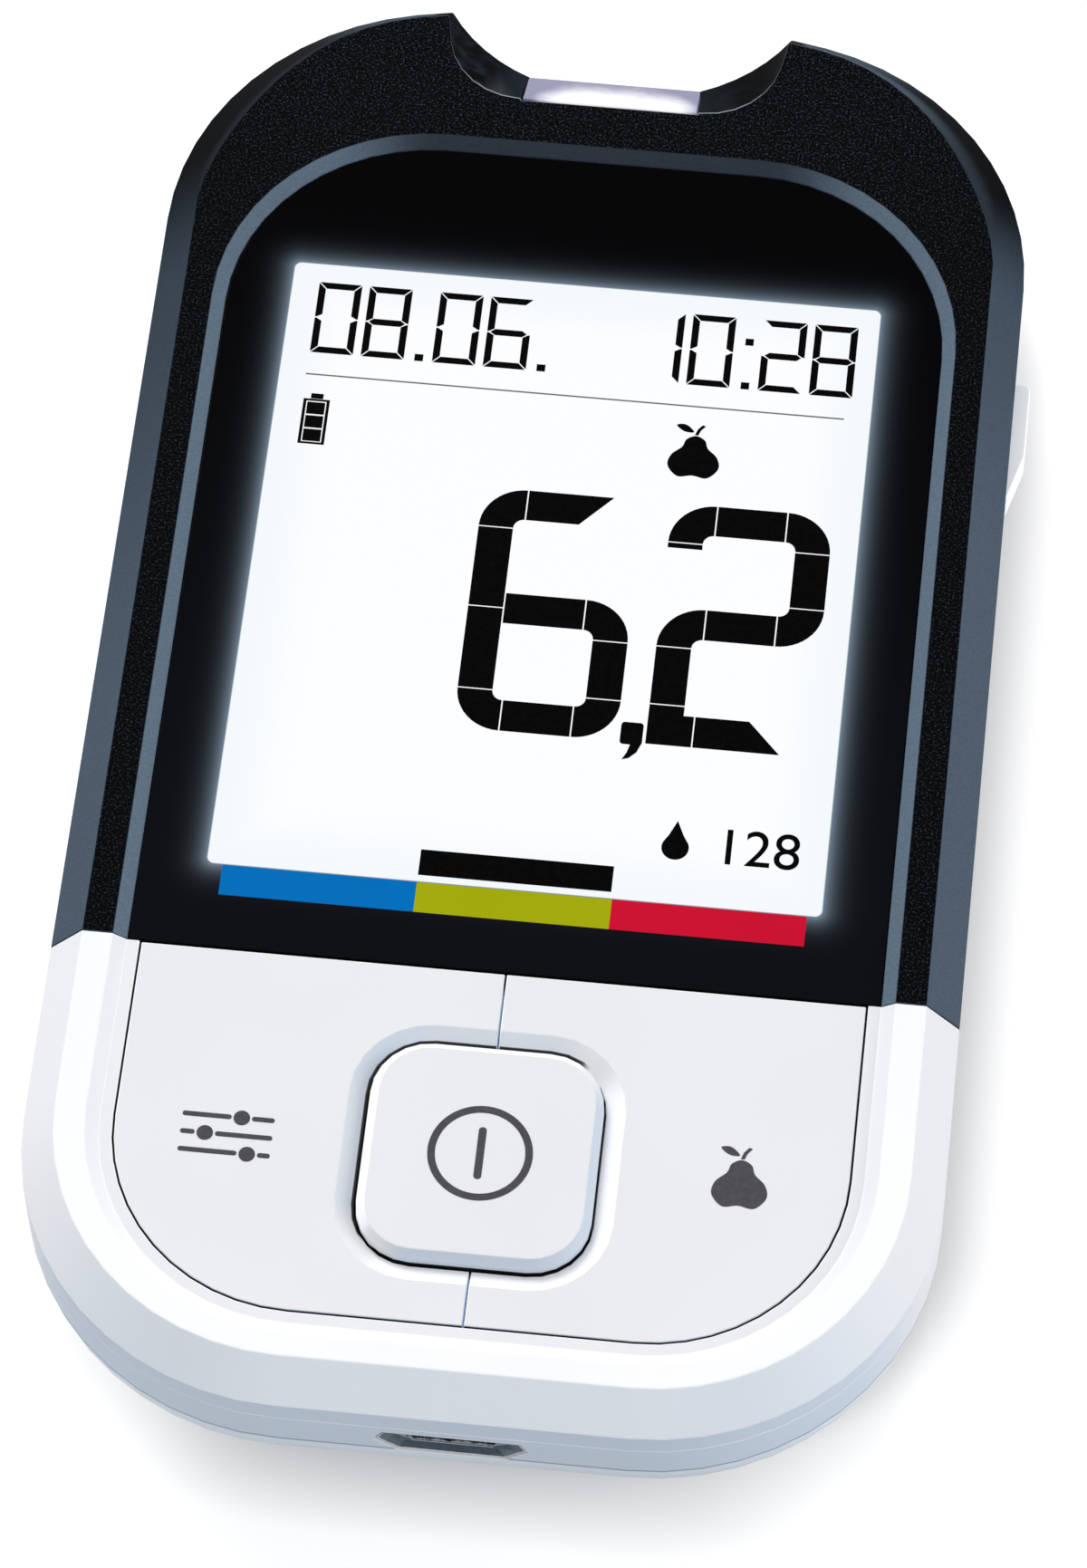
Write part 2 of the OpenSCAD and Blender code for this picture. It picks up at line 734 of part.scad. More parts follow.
// Leaf contacts: each is a bent strip under the slot
leaf_w = 0.6;
leaf_t = 0.25;
leaf_heel = 1.1;
leaf_bend = 1.9;
leaf_tip = 2.6;
z_leaf = z_board + 0.35;
z_leaf_tip = strip_z - strip_slot_h / 2 - 0.05;
module strip_contacts() {
    color([0.83, 0.68, 0.30]) for (x = contact_places)
        translate([x - leaf_w / 2, 0, 0]) rotate([90, 0, 90]) linear_extrude(leaf_w) polygon([
            [connector_y0 + leaf_heel, z_leaf],
            [connector_y1 - leaf_w, z_leaf],
            [connector_y1 - leaf_w, z_leaf + leaf_t],
            [connector_y0 + leaf_tip + leaf_w, z_leaf_tip],
            [connector_y0 + leaf_tip, z_leaf_tip],
            [connector_y0 + leaf_bend, z_leaf + leaf_t],
            [connector_y0 + leaf_heel, z_leaf + leaf_t]
        ]);
}

led_size = [1.6, 1.2, 0.9];
module strip_led() {
    color([0.95, 0.95, 0.90]) pair()
        translate([connector_w / 2 + cut, connector_y1 - 1.5 * led_size[1], z_board]) cube(led_size);
}

tab_ramp = 3.4;
module ejector_slider() {
    color([0.92, 0.93, 0.95]) union() {
        // Thumb tab and its neck through the wall
        translate([0, 0, tab_z]) linear_extrude(tab_h) polygon([
            [slider_x + 0.5, tab_low],
            [body_w / 2 + 0.05, tab_low],
            [body_w / 2 + tab_out, tab_low + tab_ramp],
            [body_w / 2 + tab_out, tab_low + tab_len - 0.4],
            [body_w / 2 + tab_out - 0.2, tab_low + tab_len],
            [slider_x + 0.5, tab_low + tab_len]
        ]);
        // Bar that covers the slot from inside
        block([slider_x, y_bar, z_board + 2 * seat], [slider_x + bar_t, arm_y + arm_t, z_part - tab_gap]);
        // Arm across the board and the finger that pushes the strip
        translate([-finger_w / 2, arm_y, strip_z - finger_t / 2]) {
            cube([slider_x + finger_w / 2 + bar_t / 2, arm_t, finger_t]);
            cube([finger_w, connector_y0 + 1.3 - arm_y, finger_t]);
        }
    }
}

eject_coil_r = 0.8;
eject_wire_r = 0.15;
eject_lift = 1.35;
module ejector_spring() {
    y0 = spring_post[1] + post_pin_r + eject_wire_r;
    color([0.70, 0.72, 0.74]) translate([slider_x, y0, z_board + eject_lift]) rotate([-90, 0, 0])
        coil(eject_coil_r, eject_coil_r, eject_wire_r, y_bar - eject_wire_r - y0, 9, 8, 5);
}

// ---- Display ----

lens_gap = 0.05;
tape_edge = 0.25;

// Slab of the panel outline above the split of the covers, drawn in by inset
module display_slab(inset, z0, z1) {
    intersection() {
        prism(panel_outline(-inset), z0, z1);
        block([-body_w, y_split + inset, 0], [body_w, body_len, body_h]);
    }
}

module display_lens() {
    color([0.03, 0.03, 0.04]) display_slab(lens_gap, z_ledge + tape_t, z_panel);
}

// Printed mask behind the lens, with the clear window
module lens_mask() {
    color([0.02, 0.02, 0.02]) difference() {
        display_slab(ledge_w + tape_t, z_ledge + tape_t - mask_t, z_ledge + tape_t);
        block([-window_w / 2, y_window - window_len / 2, 0],
            [window_w / 2, y_window + window_len / 2, body_h]);
    }
}

// Tape ring that holds the lens on its ledge
module lens_tape() {
    color([0.15, 0.15, 0.15]) difference() {
        display_slab(tape_edge, z_ledge, z_ledge + tape_t);
        display_slab(ledge_w - seat, z_ledge - cut, z_ledge + cut);
    }
}

zebra_t = 1.9;
y_guide_low = y_glass_low + zebra_t + 0.7;

// Box of the glass's outline, drawn in by inset, from z0 to z1
module glass_block(inset, z0, z1) {
    block([-glass_w / 2 + inset, y_glass_low + inset, z0], [glass_w / 2 - inset, y_glass_high - inset, z1]);
}

module lcd_glass() {
    color([0.86, 0.90, 0.92]) glass_block(0, z_glass, z_glass + glass_t);
}

module light_guide() {
    color([0.95, 0.97, 1.0])
        block([-glass_w / 2 + 2 * seat, y_guide_low, z_guide],
            [glass_w / 2 - 2 * seat, y_glass_high - 2 * seat, z_guide + guide_t]);
}

// The frame holds the glass above the light guide; a bar divides the guide's window from the zebra strip
frame_grip = 0.5;
frame_rim = 1;
bar_y = [y_glass_low + zebra_t + 0.2, y_glass_low + zebra_t + 1.2];
module display_frame() {
    color([0.88, 0.88, 0.86]) difference() {
        glass_block(-seat - frame_wall, z_board, z_glass + frame_grip);
        glass_block(-seat, z_guide - seat / 2, body_h);
        for (y = [[bar_y[1], y_glass_high - frame_rim], [y_glass_low, bar_y[0]]])
            block([-glass_w / 2 + frame_rim, y[0], z_board - cut], [glass_w / 2 - frame_rim, y[1], body_h]);
    }
}

module zebra_strip() {
    hw = glass_w / 2 - frame_rim - 2 * seat;
    color([0.75, 0.60, 0.65])
        block([-hw, y_glass_low + seat, z_board], [hw, y_glass_low + seat + zebra_t, z_glass]);
}

backlight_size = [3, 1, z_guide - seat - z_board];
module backlight_leds() {
    color([0.98, 0.96, 0.85]) for (x = [-glass_w / 3, 0, glass_w / 3])
        translate([x - backlight_size[0] / 2, y_glass_high - 3, z_board]) cube(backlight_size);
}

// ---- Keys ----

key_split = 0.2;
post_x = (power_w / 2 + panel_w / 2 - key_margin) / 2;
skirt_t = 1.3;
z_plate = z_panel - key_plate_t;
post_r = 1.5;
post_gap = 0.15;
dome_h = 0.6;
dome_r = 4;
post_low = z_board + dome_h + 0.05;
z_power_low = z_plate - key_travel - 0.12 - flange_t;
z_frame_top = z_power_low - key_travel - 0.5;
z_frame = z_frame_top - 1;
frame_pin_x = panel_w / 2 + 1.25;
frame_pins_y = [y_split - 2.5, y_split - 7.5];

// The moat's surface: a shallow slope from the side keys' tops down to the gap round the power key
module moat() {
    loft([
        [z_panel - moat_depth, power_outline(key_gap)],
        [z_panel, power_outline(moat_w)],
        [z_panel + cut, power_outline(moat_w)]
    ]);
}

module side_key(side) {
    difference() {
        union() {
            intersection() {
                union() {
                    prism(panel_outline(-key_margin - key_gap), z_plate, z_panel);
                    difference() {
                        union() {
                            prism(panel_outline(-key_margin - key_gap), skirt_low, z_plate + seat);
                            prism(panel_outline(flange_w - key_margin), skirt_low, z_flange_top);
                        }
                        prism(panel_outline(-key_margin - skirt_t), skirt_low - cut, z_plate + 2 * seat);
                    }
                }
                block([side > 0 ? key_split + key_gap / 2 : -body_w, y_low, 0],
                    [side > 0 ? body_w : key_split - key_gap / 2, y_split - key_gap, body_h]);
            }
            rod([side * post_x, y_keys], post_r, post_low, z_plate + seat);
        }
        prism(power_outline(key_gap), skirt_low - cut, z_panel + cut);
        moat();
    }
}

module set_key() {
    color([0.91, 0.92, 0.94]) side_key(-1);
}

module meal_key() {
    color([0.91, 0.92, 0.94]) side_key(1);
}

power_bevel = 0.5;
power_skirt = 0.25;

module power_key() {
    z_top = z_panel + power_rise;
    color([0.92, 0.93, 0.95]) union() {
        loft([
            [z_plate, power_outline(0)],
            [z_top - power_bevel, power_outline(0)],
            [z_top, power_outline(-power_bevel)]
        ]);
        prism(power_outline(-power_skirt), z_power_low, z_plate + seat);
        prism(power_outline(flange_w), z_power_low, z_power_low + flange_t);
        rod([0, y_keys], post_r, post_low, z_power_low + seat);
    }
}

// Frame under the keys, carried by pins from the lower front cover, that guides the posts
frame_ear_r = 1.2;
frame_hole_r = 3.2;
frame_hole_back = 6.6;
frame_tail = 5;
frame_head = 1.1;
module key_frame() {
    w = panel_w / 2 - frame_rim;
    color([0.70, 0.72, 0.74]) difference() {
        union() {
            block([-w, y_keys - frame_tail, z_frame], [w, y_split - frame_head, z_frame_top]);
            pair() for (y = frame_pins_y) {
                block([w - 1, y - frame_ear_r, z_frame], [frame_pin_x, y + frame_ear_r, z_frame_top]);
                rod([frame_pin_x, y], frame_ear_r, z_frame, z_frame_top);
            }
        }
        for (x = [-post_x, 0, post_x]) rod([x, y_keys], post_r + post_gap, 0, body_h);
        pair() for (y = frame_pins_y) rod([frame_pin_x, y], stake_r + seat, 0, body_h);
        pair() rod([post_x / 2, y_split - frame_hole_back], frame_hole_r, 0, body_h);
    }
}

// Metal snap domes on the board
module dome() {
    ball_r = (dome_r * dome_r + dome_h * dome_h) / (2 * dome_h);
    sweep = asin(dome_r / ball_r);
    top = [for (i = [0:dome_steps])
        let (a = sweep * i / dome_steps) [ball_r * sin(a), dome_h - ball_r * (1 - cos(a))]];
    inside = [for (i = [dome_steps:-1:0]) [top[i][0], max(0, top[i][1] - dome_t)]];
    translate([0, 0, z_board]) rotate_extrude() polygon(concat(top, [[dome_r, 0]], [for (p = inside) p]));
}
dome_steps = 5;
dome_t = 0.1;

module set_dome() {
    color([0.80, 0.81, 0.83]) translate([-post_x, y_keys, 0]) dome();
}

module meal_dome() {
    color([0.80, 0.81, 0.83]) translate([post_x, y_keys, 0]) dome();
}

module power_dome() {
    color([0.80, 0.81, 0.83]) translate([0, y_keys, 0]) dome();
}

// ---- Electronics ----

board_inset = 2.7;

module circuit_board() {
    color([0.10, 0.38, 0.22]) difference() {
        prism(body_outline(board_inset), z_under, z_board);
        prism(notch_low(shell_t + 4 * seat), z_under - cut, z_board + cut);
        for (q = screws) rod(q[0], boss_r + 0.15, z_under - cut, z_board + cut);
    }
}

// Piece of the given size under the board; at is the place of its low corner, beyond the battery bay
module under_board(at, size) {
    translate([at[0], door_top + at[1], z_under - size[2]]) cube(size);
}

main_chip_at = [-5, 4];
main_chip_size = [10, 10, 1.4];
module main_chip() {
    color([0.08, 0.08, 0.08]) under_board(main_chip_at, main_chip_size);
}

measuring_chip_at = [8, 12];
measuring_chip_size = [5, 5, 1];
module measuring_chip() {
    color([0.08, 0.08, 0.08]) under_board(measuring_chip_at, measuring_chip_size);
}

crystal_r = 1;
crystal_len = 6.2;
crystal_at = [-8.5, 8];
module clock_crystal() {
    color([0.78, 0.78, 0.76])
        translate([crystal_at[0], door_top + crystal_at[1], z_under - crystal_r]) rotate([-90, 0, 0])
            cylinder(r = crystal_r, h = crystal_len);
}

capacitor_at = [8, 5];
capacitor_size = [1.2, 2, 0.8];
module capacitors() {
    color([0.72, 0.60, 0.42]) for (i = [0:3])
        under_board(capacitor_at + [2 * i * capacitor_size[0], 0], capacitor_size);
}

// The sounder hangs under the board and sounds through a hole in its lower face
buzzer_r = 4.5;
buzzer_h = 2.4;
buzzer_hole_r = 1;
buzzer_at = [-15.5, 8];
module buzzer() {
    at = [buzzer_at[0], door_top + buzzer_at[1]];
    color([0.10, 0.10, 0.10]) difference() {
        rod(at, buzzer_r, z_under - buzzer_h, z_under);
        rod(at, buzzer_hole_r, z_under - buzzer_h - cut, z_under - buzzer_h / 2);
    }
}

// Micro socket profile: widest at mid height, tapering more towards the board
usb_taper = [0.5, 1.45];
usb_waist = 0.1;
function usb_outline(grow) =
    let (w = usb_w / 2 + grow, h = usb_h / 2 + grow, t = usb_taper)
    [[-w, usb_waist], [-w + t[1], -h], [w - t[1], -h], [w, usb_waist], [w - t[0], h], [-w + t[0], h]];

// Profile drawn in towards the middle by different shares of its width and height
function usb_inner(drawn_in, high) =
    [for (p = usb_outline(0)) [p[0] * (1 - 2 * drawn_in / usb_w), p[1] * high]];

// Prism of a socket profile along the length
module usb_prism(y0, y1, pts) {
    translate([0, y1, usb_z]) rotate([90, 0, 0]) linear_extrude(y1 - y0) polygon(pts);
}

// Shares of the mouth's height that the shell behind the lip and its bore keep
usb_body_high = 0.74;
usb_bore_high = 0.58;
usb_z = z_board + usb_h / 2 * usb_body_high + seat / 4;
usb_shell_t = 0.3;
usb_lip = 0.5;
usb_body_in = 0.7;
y_usb = y_low + 0.15;

usb_back = 0.4;
y_usb_back = y_usb + usb_depth - usb_back;
usb_leg = [0.7, 1.6, usb_z - z_board];

module usb_shell() {
    color([0.78, 0.79, 0.80]) difference() {
        union() {
            usb_prism(y_usb, y_usb + usb_lip, usb_outline(0));
            usb_prism(y_usb + usb_lip / 2, y_usb + usb_depth, usb_inner(usb_body_in, usb_body_high));
            pair() translate([usb_w / 2 - usb_taper[1], y_usb + 2.6, z_board]) cube(usb_leg);
        }
        usb_prism(y_usb - cut, y_usb_back, usb_inner(usb_body_in + usb_shell_t, usb_bore_high));
    }
}

tongue_low = 0.02;
usb_tongue_t = 0.43;
module usb_tongue() {
    hw = usb_w / 2 - 2.2;
    color([0.08, 0.08, 0.09])
        block([-hw, y_usb + 0.9, usb_z + tongue_low], [hw, y_usb_back, usb_z + tongue_low + usb_tongue_t]);
}

usb_pitch = 0.65;
usb_contact = [0.3, 0.12];
module usb_contacts() {
    color([0.85, 0.70, 0.32]) for (i = [-2:2])
        block([i * usb_pitch - usb_contact[0] / 2, y_usb + 1.2, usb_z + tongue_low - usb_contact[1]],
            [i * usb_pitch + usb_contact[0] / 2, y_usb_back, usb_z + tongue_low]);
}

// ---- Batteries ----

nub_r = 1.9;
nub_h = 1.2;

// One cell along y from its flat end; the nub end is at +y
module cell() {
    rotate([-90, 0, 0]) {
        cylinder(r = cell_d / 2, h = cell_len - nub_h);
        cylinder(r = nub_r, h = cell_len);
    }
}

// The left cell points to the strip end, the right cell to the bottom end
y_cell_low = y_bay + contact_t + spring_len + cell_end_gap;
y_cell_high = y_bay + bay_len - contact_t - spring_len - cell_end_gap;

module battery_cell_left() {
    color([0.20, 0.24, 0.30]) translate([-cell_x, y_cell_low, cell_z]) cell();
}

module battery_cell_right() {
    color([0.20, 0.24, 0.30]) translate([cell_x, y_cell_high, cell_z]) mirror([0, 1, 0]) cell();
}

// Conical springs that press on the flat ends of the cells
cell_coil_r = [3.6, 1.8];
cell_wire_r = 0.25;
module cell_spring() {
    coil(cell_coil_r[0], cell_coil_r[1], cell_wire_r, spring_len, 4, 10, 5);
}

module battery_springs() {
    color([0.80, 0.81, 0.83]) {
        translate([-cell_x, y_bay + contact_t, cell_z]) rotate([-90, 0, 0]) cell_spring();
        translate([cell_x, y_bay + bay_len - contact_t, cell_z]) rotate([90, 0, 0]) cell_spring();
    }
}

plate_hw = 4.4;
tab_hw = tab_slot_hw - 2 * seat;

// Contact plate from x0 to x1 with its low face at y, and the solder tab that rises to the board
module contact_plate(x0, x1, y) {
    middle = (x0 + x1) / 2;
    block([x0 - plate_hw, y, cell_z - plate_hw], [x1 + plate_hw, y + contact_t, cell_z + plate_hw]);
    block([middle - tab_hw, y, cell_z + plate_hw], [middle + tab_hw, y + contact_t, z_under]);
}

// Plate that joins the two cells at the bottom end
module bridge_contact() {
    color([0.80, 0.81, 0.83]) contact_plate(-cell_x, cell_x, y_bay);
}

module positive_contact() {
    color([0.80, 0.81, 0.83]) contact_plate(-cell_x, -cell_x, y_bay + bay_len - contact_t);
}

module negative_contact() {
    color([0.80, 0.81, 0.83]) contact_plate(cell_x, cell_x, y_bay + bay_len - contact_t);
}

upper_front_cover();
lower_front_cover();
rear_cover();
battery_door();
display_lens();
lens_mask();
lens_tape();
lcd_glass();
light_guide();
display_frame();
zebra_strip();
backlight_leds();
set_key();
meal_key();
power_key();
key_frame();
set_dome();
meal_dome();
power_dome();
circuit_board();
main_chip();
measuring_chip();
clock_crystal();
capacitors();
buzzer();
usb_shell();
usb_tongue();
usb_contacts();
strip_insert();
strip_connector();
strip_contacts();
strip_led();
ejector_slider();
ejector_spring();
battery_cell_left();
battery_cell_right();
battery_springs();
bridge_contact();
positive_contact();
negative_contact();
housing_screws();
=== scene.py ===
"""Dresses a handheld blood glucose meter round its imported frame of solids.

Sizes in the classes are in millimetres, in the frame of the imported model: X to the right,
Y towards the strip end, Z up from the table. Meshes are made in metres.
"""

import logging
import math
from collections.abc import Callable
from dataclasses import dataclass
from enum import Enum

import bpy
from mathutils import Matrix, Vector


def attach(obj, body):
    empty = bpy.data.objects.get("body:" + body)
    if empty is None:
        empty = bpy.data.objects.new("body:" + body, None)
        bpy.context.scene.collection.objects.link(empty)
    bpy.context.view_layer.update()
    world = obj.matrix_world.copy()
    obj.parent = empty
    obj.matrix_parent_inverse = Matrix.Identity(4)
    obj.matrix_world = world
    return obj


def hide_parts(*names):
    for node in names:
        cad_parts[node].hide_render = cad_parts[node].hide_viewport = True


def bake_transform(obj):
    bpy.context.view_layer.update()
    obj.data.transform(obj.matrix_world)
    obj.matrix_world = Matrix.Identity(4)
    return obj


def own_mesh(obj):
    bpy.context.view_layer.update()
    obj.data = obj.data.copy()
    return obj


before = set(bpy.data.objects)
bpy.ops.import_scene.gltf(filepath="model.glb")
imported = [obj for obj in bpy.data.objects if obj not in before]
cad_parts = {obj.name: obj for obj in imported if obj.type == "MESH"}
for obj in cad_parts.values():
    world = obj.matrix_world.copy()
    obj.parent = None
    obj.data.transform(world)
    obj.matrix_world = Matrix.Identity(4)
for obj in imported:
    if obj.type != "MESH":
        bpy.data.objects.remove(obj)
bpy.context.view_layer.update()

MM = 0.001
log = logging.getLogger("glucose_meter")

Piece = bpy.types.Object
Point = tuple[float, float]
Loop = list[Point]
Range = tuple[float, float]
Triple = tuple[float, float, float]
Colour = tuple[float, float, float, float]


# ---- Colour and shader graph ----


def shade(red: float, green: float, blue: float) -> Colour:
    """Turns a display colour into the linear colour that shaders take.

    Args:
        red: Red part, 0 to 255.
        green: Green part, 0 to 255.
        blue: Blue part, 0 to 255.

    Returns:
        The linear colour, with an alpha of 1.
    """
    parts = []
    for part in (red, green, blue):
        share = part / 255
        parts.append(share / 12.92 if share <= 0.04045 else ((share + 0.055) / 1.055) ** 2.4)
    return (*parts, 1.0)


def fed(operation: str, last: bool = False) -> "Callable[..., Signal]":
    """Makes a method that feeds a signal and other values into a Math node.

    Args:
        operation: The Math node's operation.
        last: True where the signal itself comes after the others.

    Returns:
        The method.
    """

    def method(self: "Signal", *others: "Signal | float") -> "Signal":
        """Returns the Math node's result."""
        return self.graph.math(operation, *((*others, self) if last else (self, *others)))

    return method


class Signal:
    """One output socket of a shader node, with arithmetic that adds Math nodes."""

    __add__ = fed("ADD")
    __sub__ = fed("SUBTRACT")
    __rsub__ = fed("SUBTRACT", True)
    __mul__ = fed("MULTIPLY")
    __truediv__ = fed("DIVIDE")
    __pow__ = fed("POWER")
    __abs__ = fed("ABSOLUTE")
    least = fed("MINIMUM")
    most = fed("MAXIMUM")

    def __init__(self, graph: "Graph", socket: bpy.types.NodeSocket | None) -> None:
        """Wraps a socket of a node in the given graph."""
        self.graph = graph
        self.socket = socket

    def __neg__(self) -> "Signal":
        """Returns the signal with its sign turned."""
        return self * -1.0

    def ease(self, low: float, high: float, start: float = 0.0, end: float = 1.0) -> "Signal":
        """Maps the signal smoothly from one range to another and clamps it.

        Args:
            low: Value that gives start.
            high: Value that gives end.
            start: Result at low.
            end: Result at high.

        Returns:
            The mapped signal.
        """
        return self.graph.node(
            "MapRange",
            {"Value": self, "From Min": low, "From Max": high, "To Min": start, "To Max": end},
            interpolation_type="SMOOTHSTEP",
        )


class Graph:
    """The node tree of one material or of the world."""

    def __init__(self, tree: bpy.types.NodeTree) -> None:
        """Empties the tree and keeps it."""
        self.tree = tree
        tree.nodes.clear()

    def node(
        self,
        kind: str,
        sockets: dict[str | int, object] | None = None,
        output: str | int = 0,
        **settings: object,
    ) -> Signal:
        """Adds one node.

        Args:
            kind: The node's type, without the word ShaderNode.
            sockets: A value or a signal for each input, by name or index.
            output: Name or index of the output that is returned.
            settings: The node's own settings.

        Returns:
            The wanted output of the new node, or an empty signal if it has none.
        """
        made = self.tree.nodes.new(f"ShaderNode{kind}")
        for key, value in settings.items():
            setattr(made, key, value)
        for key, value in (sockets or {}).items():
            if isinstance(value, Signal):
                self.tree.links.new(value.socket, made.inputs[key])
            else:
                made.inputs[key].default_value = value
        return Signal(self, made.outputs[output] if len(made.outputs) else None)

    def math(self, operation: str, *values: Signal | float) -> Signal:
        """Adds a Math node on the given signals or numbers."""
        return self.node("Math", dict(enumerate(values)), operation=operation)

    def mix(self, share: Signal | float, first: object, second: object) -> Signal:
        """Blends two colours.

        Args:
            share: 0 gives the first colour, 1 the second.
            first: A colour or a signal.
            second: A colour or a signal.

        Returns:
            The blended colour.
        """
        return self.node("Mix", {0: share, 6: first, 7: second}, 2, data_type="RGBA")

    def place(self) -> Signal:
        """Returns the Object coordinates."""
        return self.node("TexCoord", output="Object")

    def parts(self, vector: Signal) -> tuple[Signal, Signal, Signal]:
        """Splits a vector.

        Args:
            vector: The vector's signal.

        Returns:
            Its three parts.
        """
        split = self.node("SeparateXYZ", {0: vector})
        outputs = split.socket.node.outputs
        return split, Signal(self, outputs["Y"]), Signal(self, outputs["Z"])

    def spot(self) -> tuple[Signal, Signal, Signal]:
        """Returns the three parts of the surface's place, in millimetres."""
        x, y, z = self.parts(self.place())
        return x / MM, y / MM, z / MM

    def facing(self) -> tuple[Signal, Signal, Signal]:
        """Returns the three parts of the surface's own direction, in Object coordinates."""
        return self.parts(self.node("TexCoord", output="Normal"))

    def noise(self, grain: float, detail: float = 2.0, stretch: Triple = (1, 1, 1)) -> Signal:
        """Adds a noise pattern.

        Args:
            grain: Size of one grain in millimetres.
            detail: Number of finer octaves.
            stretch: How much finer the pattern is along each axis.

        Returns:
            The noise, about 0.5 on average.
        """
        at = self.node("Mapping", {"Vector": self.place(), "Scale": stretch})
        fineness = 1 / (grain * MM)
        sockets = {"Vector": at, "Scale": fineness, "Detail": detail, "Roughness": 0.6}
        return self.node("TexNoise", sockets)

    def bump(self, height: Signal, depth: float, strength: float) -> Signal:
        """Turns a height between 0 and 1 into a surface direction.

        Args:
            height: The height pattern.
            depth: Depth of the pattern in millimetres.
            strength: Share of the effect.

        Returns:
            The bent surface direction.
        """
        sockets = {"Height": height, "Distance": depth * MM, "Strength": strength}
        return self.node("Bump", sockets)

    def surface(self, **sockets: object) -> None:
        """Closes the material with a Principled shader that takes the given sockets."""
        named = {key.replace("_", " "): value for key, value in sockets.items()}
        self.node("OutputMaterial", {"Surface": self.node("BsdfPrincipled", named)})


def outside(x: Signal, y: Signal, half: Range, corner: float) -> Signal:
    """Builds the distance from a rounded rectangle about the origin.

    Args:
        x: Place across the rectangle.
        y: Place along it.
        half: Half its width and half its length.
        corner: Radius of its corners.

    Returns:
        The distance, below 0 inside the rectangle.
    """
    run_x = abs(x) - (half[0] - corner)
    run_y = abs(y) - (half[1] - corner)
    outer = (run_x.most(0.0) ** 2.0 + run_y.most(0.0) ** 2.0) ** 0.5
    return outer + run_x.most(run_y).least(0.0) - corner


# ---- Finishes ----

BLACK = shade(0, 0, 0)


@dataclass(frozen=True)
class Finish:
    """A named finish of one of the meter's materials."""

    name: str

    def paint(self, graph: Graph) -> None:
        """Builds the finish in an empty graph."""
        raise NotImplementedError

    def material(self) -> bpy.types.Material:
        """Finds the finish's material, or makes it on first use.

        Returns:
            The material.
        """
        title = f"{self.name}_finish"
        known = bpy.data.materials.get(title)
        if known is not None:
            return known
        made = bpy.data.materials.new(title)
        made.use_nodes = True
        self.paint(Graph(made.node_tree))
        return made

    def dress(self, piece: Piece) -> None:
        """Gives a piece this finish alone."""
        piece.data.materials.clear()
        piece.data.materials.append(self.material())


